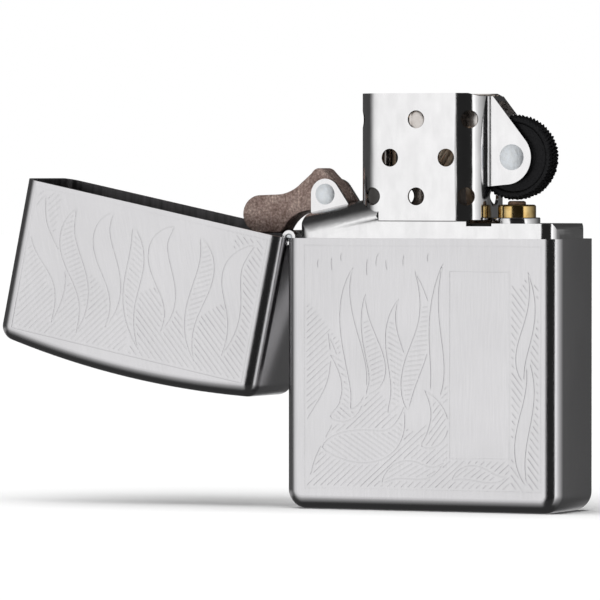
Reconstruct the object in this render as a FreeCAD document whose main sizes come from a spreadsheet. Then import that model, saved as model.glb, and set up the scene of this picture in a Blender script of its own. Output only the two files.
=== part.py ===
"""Flip-top windproof pocket lighter, lid open, as a parametric FreeCAD document.

Frame: origin at the middle of the case's flat bottom, +X towards the flint wheel, +Y towards the back,
+Z up. Millimetres. The lid is drawn closed on top of the case and then turned open about its hinge pin.
"""
import FreeCAD, Part

import math
import os

import Sketcher

# name, value in mm (angles in degrees, slopes as a ratio), what it is
DIMENSIONS = [
    ("case_width", 38.1, "outer case, along X"),
    ("case_depth", 12.9, "outer case, along Y"),
    ("case_height", 34.9, "base to the case's rim"),
    ("case_corner", 2.5, "bottom corners in front view"),
    ("edge_round", 1.8, "round of the front and back edges of case and lid"),
    ("wall", 0.6, "sheet of case and lid"),
    ("rim_gap", 0.1, "between the closed lid and the case"),
    ("lid_height", 22.6, "lid's rim to the crown of its top"),
    ("lid_corner", 2.0, "lid's top corners in front view"),
    ("crown_radius", 127.0, "curve of the lid's top"),
    ("hinge_x", -19.15, "hinge pin"),
    ("hinge_z", 34.95, "hinge pin"),
    ("open_angle", 168.4, "lid, from closed to open"),
    ("barrel_radius", 0.95, "hinge knuckles"),
    ("barrel_bore", 0.5, "hinge knuckles"),
    ("pin_radius", 0.46, "hinge pin"),
    ("pin_length", 9.5, "hinge pin"),
    ("knuckle_pitch", 1.94, "spacing of the five knuckles"),
    ("knuckle_gap", 0.1, "between neighbouring knuckles"),
    ("leaf_sheet", 0.34, "hinge leaf's thickness"),
    ("leaf_height", 7.6, "hinge leaf, from the pin"),
    ("barrel_clearance", 0.1, "round the knuckles"),
    ("insert_left", -17.75, "insert's end wall at the hinge"),
    ("insert_right", 18.25, "insert's end wall at the wheel"),
    ("insert_depth", 11.4, "insert, along Y"),
    ("insert_corner", 2.0, "insert's upright corners"),
    ("insert_wall", 0.4, "insert's sheet"),
    ("insert_base", 2.05, "insert's lower rim"),
    ("deck_level", 36.85, "top of the insert's deck"),
    ("deck_sheet", 0.5, "top plate"),
    ("deck_lip", 1.0, "width of the insert's rim round the top plate"),
    ("end_lean", 0.55, "how far the insert's wheel end leans in at the deck"),
    ("notch_left", 6.1, "dark notch under the chimney's corner"),
    ("notch_right", 9.6, "same, other end"),
    ("notch_level", 36.5, "same, bottom"),
    ("notch_depth", 1.1, "same, along Y"),
    ("chimney_left", -9.6, "wind hood"),
    ("chimney_right", 7.6, "wind hood"),
    ("chimney_depth", 11.0, "wind hood, along Y"),
    ("chimney_corner", 3.4, "wind hood's upright corners"),
    ("chimney_sheet", 0.4, "wind hood"),
    ("chimney_top", 53.5, "wind hood"),
    ("chimney_foot_top", 37.2, "flange at the hood's base"),
    ("chimney_foot_out", 0.2, "how far that flange stands out, flush with the insert"),
    ("chimney_foot_round", 0.15, "that flange's upper edge"),
    ("chimney_lift", 37.3, "raised lower edge at the wheel end"),
    ("air_hole", 1.15, "radius of the air holes"),
    ("hole_row_high", 50.15, "air holes"),
    ("hole_row_middle", 45.25, "air holes"),
    ("hole_row_low", 40.3, "air holes"),
    ("hole_axis", -0.95, "middle column of air holes"),
    ("hole_row_axis", -0.7, "centre of the middle row"),
    ("hole_spread", 3.9, "middle row's holes, from its centre"),
    ("wheel_x", 10.75, "flint wheel's axle"),
    ("wheel_z", 45.3, "flint wheel's axle"),
    ("wheel_radius", 5.5, "flint wheel"),
    ("wheel_width", 2.6, "flint wheel"),
    ("wheel_bore", 0.86, "flint wheel"),
    ("wheel_chamfer", 0.4, "flint wheel's edges"),
    ("wheel_dish", 0.25, "depth of the recess in each side"),
    ("wheel_ear_in", 1.42, "inner face of each wheel ear, from the middle"),
    ("wheel_ear_out", 1.8, "outer face of each wheel ear"),
    ("wheel_ear_x", 9.9, "centre of the ear's round end"),
    ("wheel_ear_radius", 3.5, "ear's round end"),
    ("wheel_ear_top", 53.1, "ear's upper corner"),
    ("wheel_ear_shelf", 8.15, "ear's upper corner"),
    ("wheel_ear_root", 41.55, "ear's lower corner"),
    ("ear_fillet", 0.28, "bend between hood and wheel ear"),
    ("spark_slot_low", 38.95, "window for the sparks, lower end"),
    ("spark_slot_high", 52.5, "window for the sparks, upper end"),
    ("wheel_rivet_radius", 0.8, "shank"),
    ("wheel_rivet_head", 1.66, "head"),
    ("wheel_rivet_dome", 0.45, "head's height"),
    ("ramp_start", 34.7, "foot of the shoulder at the ear's left edge"),
    ("ramp_slope", 0.215, "rise of the shoulder towards the chimney"),
    ("ramp_height", 3.5, "shoulder, foot to the ear's plane"),
    ("ramp_bend", 3.0, "the shoulder's wide bend"),
    ("ramp_lap", 0.3, "shoulder's joint with the insert, below its foot"),
    ("bracket_sheet", 0.45, "shoulder and cam ears"),
    ("cam_ear_left", -17.2, "straight edge of the cam ears"),
    ("cam_ear_in", 1.75, "inner face of each cam ear, from the middle"),
    ("cam_ear_out", 2.2, "outer face of each cam ear"),
    ("cam_ear_radius", 2.0, "round top of the cam ears"),
    ("cam_ear_angle", 34.2, "where the slanting edge leaves the round top"),
    ("cam_x", -15.2, "cam's rivet"),
    ("cam_z", 40.55, "cam's rivet"),
    ("cam_width", 3.3, "cam, along Y"),
    ("cam_bore", 0.76, "cam"),
    ("cam_rivet_radius", 0.7, "shank"),
    ("cam_rivet_head", 1.35, "head"),
    ("cam_rivet_dome", 0.4, "head's height"),
    ("spring_sheet", 0.3, "cam spring"),
    ("spring_width", 3.2, "cam spring"),
    ("spring_foot", 22.5, "cam spring's lower end"),
    ("spring_rivet_z", 24.5, "its rivet"),
    ("tube_radius", 1.75, "flint tube"),
    ("tube_bore", 1.25, "flint tube"),
    ("tube_foot", 4.05, "flint tube's lower end"),
    ("flange_radius", 2.45, "flint tube's flange"),
    ("flange_top", 39.25, "flint tube's flange"),
    ("washer_radius", 3.0, "steel washer"),
    ("washer_top", 37.6, "steel washer"),
    ("flint_radius", 1.17, "flint"),
    ("flint_top", 39.72, "flint's tip, just under the wheel"),
    ("flint_length", 5.0, "flint"),
    ("plunger_length", 1.5, "brass tip under the flint"),
    ("coil_radius", 0.9, "flint spring"),
    ("wire_radius", 0.16, "flint spring"),
    ("coil_pitch", 1.6, "flint spring"),
    ("screw_head_radius", 2.25, "flint screw"),
    ("screw_head_low", 2.3, "flint screw"),
    ("screw_head_high", 3.9, "flint screw"),
    ("screw_radius", 1.2, "flint screw's thread"),
    ("screw_top", 9.6, "flint screw"),
    ("screw_slot", 0.55, "driver slot"),
    ("wick_x", 0.8, "wick"),
    ("wick_radius", 1.5, "wick"),
    ("wick_foot", 6.0, "wick"),
    ("wick_top", 49.3, "wick"),
    ("felt_low", 2.25, "felt pad"),
    ("felt_high", 4.4, "felt pad"),
    ("packing_high", 32.5, "cotton packing"),
    ("soft_gap", 0.15, "round the soft pieces"),
]

doc = FreeCAD.newDocument("PocketLighter")
sheet = doc.addObject("Spreadsheet::Sheet", "Dims")
V = FreeCAD.Vector
SUB_PARTS = []


def fill_sheet():
    """One row for each driving dimension: name, value (with the name as its alias) and meaning."""
    for row, (name, value, meaning) in enumerate(DIMENSIONS, 1):
        sheet.set(f"A{row}", name)
        sheet.set(f"B{row}", str(value))
        sheet.setAlias(f"B{row}", name)
        sheet.set(f"C{row}", meaning)
    doc.recompute()


def dim(name):
    return float(sheet.get(name))


def evaluate(expression):
    return float(sheet.evalExpression(expression))


def bind(item, **expressions):
    """Binds properties to expressions; a double underscore in a name stands for a dot."""
    for name, expression in expressions.items():
        item.setExpression(name.replace("__", "."), expression)


def sub_part(item, label):
    """Names a finished sub-part; its label is its file's name."""
    item.Label = label
    SUB_PARTS.append(item)
    return item


# ---- bodies, sketches and features -------------------------------------------------------------------

def new_body(label):
    return sub_part(doc.addObject("PartDesign::Body", label), label)


def sketch_on(body, plane, level=None):
    """A sketch on one of the body's origin planes, moved along the plane's normal to a bound level."""
    sketch = body.newObject("Sketcher::SketchObject", f"{body.Name}_sketch")
    support = next(o for o in body.Origin.OriginFeatures if o.Role == plane)
    sketch.AttachmentSupport = [(support, "")]
    sketch.MapMode = "FlatFace"
    if level:
        sketch.setExpression(".AttachmentOffset.Base.z", level)
    return sketch


def place_point(sketch, geometry, point, x, y):
    """Ties a point of the sketch to bound coordinates, measured from the origin."""
    for kind, expression in (("DistanceX", x), ("DistanceY", y)):
        value = evaluate(expression)
        number = sketch.addConstraint(Sketcher.Constraint(kind, -1, 1, geometry, point, value))
        sketch.setExpression(f"Constraints[{number}]", expression)


def rectangle(sketch, left, right, low, high):
    """A rectangle with its two opposite corners bound to expressions."""
    x0, x1, y0, y1 = (evaluate(e) for e in (left, right, low, high))
    corners = [V(x0, y0, 0), V(x1, y0, 0), V(x1, y1, 0), V(x0, y1, 0)]
    first = sketch.GeometryCount
    for i in range(4):
        sketch.addGeometry(Part.LineSegment(corners[i], corners[(i + 1) % 4]))
    for i in range(4):
        sketch.addConstraint(Sketcher.Constraint("Coincident", first + i, 2, first + (i + 1) % 4, 1))
        kind = "Horizontal" if i % 2 == 0 else "Vertical"
        sketch.addConstraint(Sketcher.Constraint(kind, first + i))
    place_point(sketch, first, 1, left, low)
    place_point(sketch, first + 2, 1, right, high)


def rounded_rectangle(sketch, left, right, low, high, corner):
    """A rectangle with round corners; its sides and the corners' radius are bound to expressions."""
    x0, x1, y0, y1, radius = (evaluate(e) for e in (left, right, low, high, corner))
    ends = [
        (V(x0 + radius, y0, 0), V(x1 - radius, y0, 0)), (V(x1, y0 + radius, 0), V(x1, y1 - radius, 0)),
        (V(x1 - radius, y1, 0), V(x0 + radius, y1, 0)), (V(x0, y1 - radius, 0), V(x0, y0 + radius, 0)),
    ]
    centres = [V(x1 - radius, y0 + radius, 0), V(x1 - radius, y1 - radius, 0),
               V(x0 + radius, y1 - radius, 0), V(x0 + radius, y0 + radius, 0)]
    first = sketch.GeometryCount
    for i in range(4):
        sketch.addGeometry(Part.LineSegment(*ends[i]))
        bend = Part.Circle(centres[i], V(0, 0, 1), radius)
        sketch.addGeometry(Part.ArcOfCircle(bend, (i - 1) * math.pi / 2, i * math.pi / 2))
    for i in range(4):
        line, arc, following = first + 2 * i, first + 2 * i + 1, first + (2 * i + 2) % 8
        sketch.addConstraint(Sketcher.Constraint("Tangent", line, 2, arc, 1))
        sketch.addConstraint(Sketcher.Constraint("Tangent", arc, 2, following, 1))
        sketch.addConstraint(Sketcher.Constraint("Horizontal" if i % 2 == 0 else "Vertical", line))
        if i:
            sketch.addConstraint(Sketcher.Constraint("Equal", first + 1, arc))
    size = sketch.addConstraint(Sketcher.Constraint("Radius", first + 1, radius))
    sketch.setExpression(f"Constraints[{size}]", corner)
    for kind, line, expression in (
        ("DistanceY", first, low), ("DistanceX", first + 2, right),
        ("DistanceY", first + 4, high), ("DistanceX", first + 6, left),
    ):
        value = evaluate(expression)
        number = sketch.addConstraint(Sketcher.Constraint(kind, -1, 1, line, 1, value))
        sketch.setExpression(f"Constraints[{number}]", expression)


def circle(sketch, x, y, radius):
    """A circle with its centre and radius bound to expressions."""
    centre = V(evaluate(x), evaluate(y), 0)
    number = sketch.addGeometry(Part.Circle(centre, V(0, 0, 1), evaluate(radius)))
    place_point(sketch, number, 3, x, y)
    size = sketch.addConstraint(Sketcher.Constraint("Radius", number, evaluate(radius)))
    sketch.setExpression(f"Constraints[{size}]", radius)


def outline(sketch, start, *steps):
    """A closed outline. A step is the end of a line, or a point on an arc and the arc's end."""
    here = V(*start, 0)
    for step in steps:
        if isinstance(step[0], tuple):
            through, end = V(*step[0], 0), V(*step[1], 0)
            sketch.addGeometry(Part.Arc(here, through, end))
        else:
            end = V(*step, 0)
            sketch.addGeometry(Part.LineSegment(here, end))
        here = end


def pad(body, sketch, length, midplane=False, reverse=False):
    feature = body.newObject("PartDesign::Pad", f"{body.Name}_pad")
    feature.Profile = sketch
    feature.Midplane = midplane
    feature.Reversed = reverse
    feature.setExpression("Length", length)
    sketch.Visibility = False
    doc.recompute()
    return feature


def pocket(body, sketch, length, midplane=False, reverse=False):
    """Cuts a sketch out of the body, and makes sure that it did cut."""
    before = body.Tip.Shape.Volume
    feature = body.newObject("PartDesign::Pocket", f"{body.Name}_pocket")
    feature.Profile = sketch
    feature.Midplane = midplane
    feature.Reversed = reverse
    feature.setExpression("Length", length)
    doc.recompute()
    if feature.Shape.Volume > before - 1e-4:
        raise RuntimeError(f"{feature.Name} of {body.Label} cuts nothing")
    return feature


def fillet(body, radius, wanted):
    """Rounds the edges of the body's latest feature that the function `wanted` picks."""
    base = body.Tip
    edges = [f"Edge{i}" for i, edge in enumerate(base.Shape.Edges, 1) if wanted(edge.BoundBox)]
    if not edges:
        raise RuntimeError(f"no edge to round on {body.Label}")
    feature = body.newObject("PartDesign::Fillet", f"{body.Name}_fillet")
    feature.Base = (base, edges)
    feature.setExpression("Radius", radius)
    doc.recompute()
    return feature


def revolve(body, sketch, line):
    """Turns a sketch right round a line of the sketch (its own axis `V_Axis` or `H_Axis`)."""
    feature = body.newObject("PartDesign::Revolution", f"{body.Name}_revolution")
    feature.Profile = sketch
    feature.ReferenceAxis = (sketch, [line])
    feature.Angle = 360
    doc.recompute()
    return feature


def upright(box):
    """An edge that runs along Z only."""
    return box.XLength < 1e-6 and box.YLength < 1e-6


def rounded_block(label, left, right, depth, low, high, corner):
    """A block between bound levels, with round upright corners."""
    body = new_body(label)
    sketch = sketch_on(body, "XY_Plane", low)
    rounded_rectangle(sketch, left, right, f"-({depth}) / 2", f"({depth}) / 2", corner)
    pad(body, sketch, f"({high}) - ({low})")
    return body


def on_circle(centre, radius, degrees):
    angle = math.radians(degrees)
    return (centre[0] + radius * math.cos(angle), centre[1] + radius * math.sin(angle))


# ---- case and lid ------------------------------------------------------------------------------------

def hollow(body, rim_level):
    """Rounds the front and back edges, then opens the shell at its rim."""
    def long_edge(box):
        return box.YLength < 1e-6 and box.ZLength + box.XLength > 0.1 and not at_rim(box)

    def at_rim(box):
        return abs(box.ZMin - rim_level) < 1e-3 and abs(box.ZMax - rim_level) < 1e-3

    fillet(body, "Dims.edge_round", long_edge)
    base = body.Tip
    faces = [f"Face{i}" for i, face in enumerate(base.Shape.Faces, 1) if at_rim(face.BoundBox)]
    shell = body.newObject("PartDesign::Thickness", f"{body.Name}_shell")
    shell.Base = (base, faces)
    shell.Reversed = True
    shell.Join = 0
    shell.setExpression("Value", "Dims.wall")
    doc.recompute()


def hinge_notch(body, low, high):
    """The gap in an end wall that the hinge's barrel lies in."""
    sketch = sketch_on(body, "YZ_Plane")
    half = "(2.5 * Dims.knuckle_pitch + Dims.barrel_clearance)"
    rectangle(sketch, f"-{half}", half, low, high)
    pocket(body, sketch, "Dims.case_width")


def case_shell():
    body = new_body("case_shell")
    half, height, corner = dim("case_width") / 2, dim("case_height"), dim("case_corner")
    sketch = sketch_on(body, "XZ_Plane")
    left, right = (corner - half, corner), (half - corner, corner)
    outline(
        sketch, (-half, height),
        (-half, corner),
        (on_circle(left, corner, 225), (corner - half, 0)),
        (half - corner, 0),
        (on_circle(right, corner, 315), (half, corner)),
        (half, height),
        (-half, height),
    )
    pad(body, sketch, "Dims.case_depth", midplane=True)
    hollow(body, height)
    clearance = "(Dims.barrel_radius + Dims.barrel_clearance)"
    hinge_notch(body, f"Dims.hinge_z - {clearance}", "Dims.case_height + 1")


def lid_shell():
    body = new_body("lid_shell")
    half, corner, crown = dim("case_width") / 2, dim("lid_corner"), dim("crown_radius")
    rim = dim("case_height") + dim("rim_gap")
    top = rim + dim("lid_height")
    crown_centre = (0, top - crown)
    corner_x = half - corner
    corner_z = crown_centre[1] + math.sqrt((crown - corner) ** 2 - corner_x ** 2)
    lean = math.degrees(math.atan2(corner_x, corner_z - crown_centre[1]))
    crown_end = on_circle(crown_centre, crown, 90 - lean)
    bend = on_circle((corner_x, corner_z), corner, (90 - lean) / 2)
    sketch = sketch_on(body, "XZ_Plane")
    outline(
        sketch, (-half, rim),
        (half, rim),
        (half, corner_z),
        (bend, crown_end),
        ((0, top), (-crown_end[0], crown_end[1])),
        ((-bend[0], bend[1]), (-half, corner_z)),
        (-half, rim),
    )
    pad(body, sketch, "Dims.case_depth", midplane=True)
    hollow(body, rim)
    clearance = "(Dims.barrel_radius + Dims.barrel_clearance)"
    hinge_notch(body, "Dims.case_height - 1", f"Dims.hinge_z + {clearance}")
    open_lid(body)


def open_lid(body):
    """Turns a piece of the lid from its closed place to the open one, about the hinge pin."""
    centre = "vector(Dims.hinge_x; 0; Dims.hinge_z)"
    turn = "rotation(vector(0; 1; 0); -Dims.open_angle)"
    body.setExpression("Placement", f"placement(vector(0; 0; 0); {turn}; {centre})")


def hinge_leaf(label, side, window_places):
    """A leaf with its knuckles: `side` is 1 above the pin, -1 below; windows clear the other leaf's."""
    body = new_body(label)
    half = "(2.5 * Dims.knuckle_pitch)"
    inner_wall = "(Dims.case_width / 2 - Dims.wall)"
    ends = ["Dims.hinge_z", f"Dims.hinge_z + {side} * Dims.leaf_height"]
    if side < 0:
        ends.reverse()
    plate = sketch_on(body, "XZ_Plane")
    rectangle(plate, f"-{inner_wall}", f"Dims.leaf_sheet - {inner_wall}", *ends)
    pad(body, plate, f"2 * {half} - 0.5", midplane=True)
    barrel = sketch_on(body, "XZ_Plane")
    circle(barrel, "Dims.hinge_x", "Dims.hinge_z", "Dims.barrel_radius")
    pad(body, barrel, f"2 * {half}", midplane=True)
    reach = "(Dims.barrel_radius + Dims.barrel_clearance)"
    low = f"Dims.hinge_z - {reach}"
    for place in window_places:
        window = sketch_on(body, "XY_Plane", low)
        edge = "(Dims.knuckle_pitch / 2 + Dims.knuckle_gap / 2)"
        middle = f"{place} * Dims.knuckle_pitch"
        # the outermost windows run past the leaf's end
        outward = "Dims.knuckle_gap" if abs(place) == 2 else "0 * Dims.knuckle_gap"
        first, last = f"{middle} - {edge}", f"{middle} + {edge}"
        if place < 0:
            first = f"{first} - {outward}"
        else:
            last = f"{last} + {outward}"
        rectangle(window, "Dims.hinge_x - 2", "Dims.hinge_x + 2", first, last)
        pocket(body, window, f"2 * {reach}", reverse=True)
    bore = sketch_on(body, "XZ_Plane")
    circle(bore, "Dims.hinge_x", "Dims.hinge_z", "Dims.barrel_bore")
    pocket(body, bore, f"3 * {half}", midplane=True)
    return body


def hinge_pin():
    pin = sub_part(doc.addObject("Part::Cylinder", "hinge_pin"), "hinge_pin")
    bind(pin, Radius="Dims.pin_radius", Height="Dims.pin_length")
    pin.setExpression(
        "Placement",
        "placement(vector(Dims.hinge_x; Dims.pin_length / 2; Dims.hinge_z); rotation(vector(1; 0; 0); 90))",
    )


# ---- insert ------------------------------------------------------------------------------------------

def ramp_expression(x):
    """Height of the shoulder's foot at a bound x."""
    return f"(Dims.ramp_start + Dims.ramp_slope * (({x}) - Dims.cam_ear_left))"


def corner_notches(body):
    """The gaps in the deck under the two wheel-end corners of the chimney."""
    for side in (-1, 1):
        sketch = sketch_on(body, "XY_Plane", "Dims.notch_level")
        outer = "(Dims.insert_depth / 2)"
        edges = [f"{side} * ({outer} - Dims.notch_depth)", f"{side} * ({outer} + 1)"]
        if side < 0:
            edges.reverse()
        rectangle(sketch, "Dims.notch_left", "Dims.notch_right", *edges)
        pocket(body, sketch, "3 * Dims.deck_sheet", reverse=True)


def insert_shell():
    body = rounded_block(
        "insert_shell", "Dims.insert_left", "Dims.insert_right", "Dims.insert_depth",
        "Dims.insert_base", "Dims.deck_level", "Dims.insert_corner",
    )
    leaning_end(body)
    inner_height = "Dims.deck_level - Dims.deck_sheet - Dims.insert_base"
    for inset, level, length, up in (
        ("Dims.insert_wall", "Dims.insert_base", inner_height, True),
        ("Dims.deck_lip", "Dims.deck_level", "2 * Dims.deck_sheet", False),
    ):
        sketch = sketch_on(body, "XY_Plane", level)
        rounded_rectangle(
            sketch, f"Dims.insert_left + {inset}", f"Dims.insert_right - {inset}",
            f"{inset} - Dims.insert_depth / 2", f"Dims.insert_depth / 2 - {inset}",
            f"Dims.insert_corner - {inset}",
        )
        pocket(body, sketch, length, reverse=up)
    cut_under_ramp(body)
    corner_notches(body)


def leaning_end(body):
    """Leans the wheel end in towards the deck along a slight curve."""
    right, low, top = dim("insert_right"), dim("case_height") + 0.2, dim("deck_level")
    lean, rise = dim("end_lean"), top - low
    sketch = sketch_on(body, "XZ_Plane")
    outline(
        sketch, (right, low),
        ((right - 0.3 * lean, low + 0.6 * rise), (right - lean, top)),
        (right + 1, top),
        (right + 1, low),
        (right, low),
    )
    pocket(body, sketch, "2 * Dims.insert_depth", midplane=True)


def cut_under_ramp(body):
    """Takes away what lies above the shoulder's sloping joint, up to the chimney's flat front."""
    left, right = "(Dims.insert_left - 1)", "(Dims.chimney_left + Dims.chimney_corner)"
    start, end, top = evaluate(left), evaluate(right), dim("deck_level") + 1
    sketch = sketch_on(body, "XZ_Plane")
    outline(
        sketch, (start, top),
        (start, evaluate(f"{ramp_expression(left)} - Dims.ramp_lap")),
        (end, evaluate(f"{ramp_expression(right)} - Dims.ramp_lap")),
        (end, top),
        (start, top),
    )
    pocket(body, sketch, "2 * Dims.insert_depth", midplane=True)


def top_plate():
    body = rounded_block(
        "top_plate", "Dims.chimney_left", "Dims.insert_right - Dims.deck_lip",
        "Dims.insert_depth - 2 * Dims.deck_lip",
        "Dims.deck_level - Dims.deck_sheet", "Dims.deck_level", "Dims.insert_corner - Dims.deck_lip",
    )
    holes = sketch_on(body, "XY_Plane", "Dims.deck_level")
    circle(holes, "Dims.wick_x", "0 * Dims.wick_x", "Dims.wick_radius + Dims.soft_gap")
    circle(holes, "Dims.wheel_x", "0 * Dims.wheel_x", "Dims.tube_radius + 0.03")
    pocket(body, holes, "2 * Dims.deck_sheet")
    corner_notches(body)


def chimney():
    body = rounded_block(
        "chimney", "Dims.chimney_left", "Dims.chimney_right", "Dims.chimney_depth",
        "Dims.deck_level", "Dims.chimney_top", "Dims.chimney_corner",
    )
    wheel_ear_block(body)
    chimney_foot(body)
    chimney_hollow(body)
    chimney_edges(body)
    flat_air_holes(body)
    corner_air_holes(body)


def wheel_ear_block(body):
    """Both wheel ears as one block, blended into the hood's end wall."""
    centre = (dim("wheel_ear_x"), dim("wheel_z"))
    radius = dim("wheel_ear_radius")
    shelf = (dim("wheel_ear_shelf"), dim("wheel_ear_top"))
    root = dim("wheel_ear_root")
    inside = dim("chimney_right") - dim("chimney_sheet") / 2
    # the slanting edge runs from the shelf's corner to where it touches the round end
    away, up = shelf[0] - centre[0], shelf[1] - centre[1]
    touch = math.degrees(math.atan2(up, away) - math.acos(radius / math.hypot(away, up)))
    sketch = sketch_on(body, "XZ_Plane")
    outline(
        sketch, (inside, shelf[1]),
        shelf,
        on_circle(centre, radius, touch),
        (on_circle(centre, radius, touch / 2 - 45), (centre[0], centre[1] - radius)),
        (inside, root),
        (inside, shelf[1]),
    )
    pad(body, sketch, "2 * Dims.wheel_ear_out", midplane=True)
    wall, ear = dim("chimney_right"), dim("wheel_ear_out")

    def bend(box):
        return upright(box) and abs(box.XMin - wall) < 1e-3 and abs(abs(box.YMin) - ear) < 1e-3

    fillet(body, "Dims.ear_fillet", bend)


def chimney_foot(body):
    """The flange at the hood's base, along its front and back."""
    sketch = sketch_on(body, "XY_Plane", "Dims.deck_level")
    rectangle(
        sketch, "Dims.chimney_left + Dims.chimney_corner", "Dims.notch_left",
        "-Dims.chimney_depth / 2 - Dims.chimney_foot_out", "Dims.chimney_depth / 2 + Dims.chimney_foot_out",
    )
    pad(body, sketch, "Dims.chimney_foot_top - Dims.deck_level")
    top, out = dim("chimney_foot_top"), dim("chimney_depth") / 2 + dim("chimney_foot_out")

    def upper_edge(box):
        return abs(box.ZMin - top) < 1e-3 and box.ZLength < 1e-3 and abs(abs(box.YMin) - out) < 1e-3 and (
            box.YLength < 1e-3)

    fillet(body, "Dims.chimney_foot_round", upper_edge)


def chimney_hollow(body):
    """Opens the hood from top to bottom and cuts the window between the wheel ears."""
    inside = sketch_on(body, "XY_Plane", "Dims.chimney_top")
    inset = "Dims.chimney_sheet"
    rounded_rectangle(
        inside, f"Dims.chimney_left + {inset}", f"Dims.chimney_right - {inset}",
        f"{inset} - Dims.chimney_depth / 2", f"Dims.chimney_depth / 2 - {inset}",
        f"Dims.chimney_corner - {inset}",
    )
    pocket(body, inside, "2 * (Dims.chimney_top - Dims.deck_level)")
    window = sketch_on(body, "YZ_Plane")
    half, low, high = dim("wheel_ear_in"), dim("spark_slot_low"), dim("spark_slot_high")
    outline(
        window, (-half, high),
        (-half, low + half),
        ((0, low), (half, low + half)),
        (half, high),
        (-half, high),
    )
    pocket(body, window, "Dims.case_width", reverse=True)


def chimney_edges(body):
    """Raises the lower edge at the wheel end and slopes the upper one down to the ears."""
    raised = sketch_on(body, "XZ_Plane")
    rectangle(raised, "Dims.notch_left", "Dims.chimney_right + 1", "Dims.deck_level - 1", "Dims.chimney_lift")
    pocket(body, raised, "2 * Dims.chimney_depth", midplane=True)
    slope = sketch_on(body, "XZ_Plane")
    start, end = dim("chimney_right") - dim("chimney_corner") / 2, dim("chimney_right")
    top, ear = dim("chimney_top"), dim("wheel_ear_top")
    outline(
        slope, (start, top),
        (end - 0.4, ear),
        (end + 1, ear),
        (end + 1, top + 1),
        (start, top + 1),
        (start, top),
    )
    pocket(body, slope, "2 * Dims.chimney_depth", midplane=True)


def flat_air_holes(body):
    """Air holes through the hood's flat front and back, and the rivet's hole through the ears."""
    holes = sketch_on(body, "XZ_Plane")
    for x, z in (
        ("Dims.hole_axis", "Dims.hole_row_high"),
        ("Dims.hole_row_axis - Dims.hole_spread", "Dims.hole_row_middle"),
        ("Dims.hole_row_axis + Dims.hole_spread", "Dims.hole_row_middle"),
        ("Dims.hole_axis", "Dims.hole_row_low"),
    ):
        circle(holes, x, z, "Dims.air_hole")
    circle(holes, "Dims.wheel_x", "Dims.wheel_z", "Dims.wheel_rivet_radius + 0.02")
    pocket(body, holes, "2 * Dims.chimney_depth", midplane=True)


def corner_air_holes(body):
    """Air holes in the round corners: each is drilled from its corner's axis outwards."""
    inner = dim("chimney_depth") / 2 - dim("chimney_corner")
    left = dim("chimney_left") + dim("chimney_corner")
    right = dim("chimney_right") - dim("chimney_corner")
    # corner, how far round the corner the hole sits in degrees, row
    places = (
        (left, -62, "hole_row_high"),
        (left, -16, "hole_row_low"),
        (right, 37, "hole_row_high"),
        (right, 29, "hole_row_low"),
    )
    for corner, turn, row in places:
        for side in (-1, 1):
            sketch = sketch_on(body, "XZ_Plane")
            spin = turn if side < 0 else 180 - turn
            turned = FreeCAD.Rotation(V(0, 1, 0), spin)
            # in the sketch's own axes: x right, y up, z towards the front
            sketch.AttachmentOffset = FreeCAD.Placement(V(corner, dim(row), -side * inner), turned)
            circle(sketch, "0 * Dims.air_hole", "0 * Dims.air_hole", "Dims.air_hole")
            pocket(body, sketch, "Dims.chimney_corner + 1", reverse=True)


def rivet(label, x, z, shank, head, dome, half_grip):
    """A rivet across the lighter, with a low dome at each end."""
    body = new_body(label)
    bind(body, Placement__Base__x=x, Placement__Base__z=z)
    grip, r_shank, r_head, rise = (evaluate(e) for e in (half_grip, shank, head, dome))
    cap = (r_head ** 2 + rise ** 2) / (2 * rise)
    middle = math.degrees(math.asin(r_head / cap)) / 2
    over = on_circle((0, grip + rise - cap), cap, 90 - middle)
    sketch = sketch_on(body, "XY_Plane")
    outline(
        sketch, (0, -grip - rise),
        ((over[0], -over[1]), (r_head, -grip)),
        (r_shank, -grip),
        (r_shank, grip),
        (r_head, grip),
        (over, (0, grip + rise)),
        (0, -grip - rise),
    )
    revolve(body, sketch, "V_Axis")


def flint_wheel():
    """The wheel's plain blank, with chamfered edges and a shallow recess in each side."""
    body = new_body("flint_wheel")
    bind(body, Placement__Base__x="Dims.wheel_x", Placement__Base__z="Dims.wheel_z")
    half, radius, bore = dim("wheel_width") / 2, dim("wheel_radius"), dim("wheel_bore")
    chamfer, dish = dim("wheel_chamfer"), dim("wheel_dish")
    face, hub = radius - 2.5 * chamfer, 3 * bore
    right_side = [(bore, -half), (hub, -half), (hub + dish, dish - half), (face - dish, dish - half),
                  (face, -half), (radius - chamfer, -half), (radius, chamfer - half)]
    left_side = [(x, -y) for x, y in reversed(right_side)]
    steps = right_side[1:] + left_side + [right_side[0]]
    sketch = sketch_on(body, "XY_Plane")
    outline(sketch, right_side[0], *steps)
    revolve(body, sketch, "V_Axis")


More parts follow.
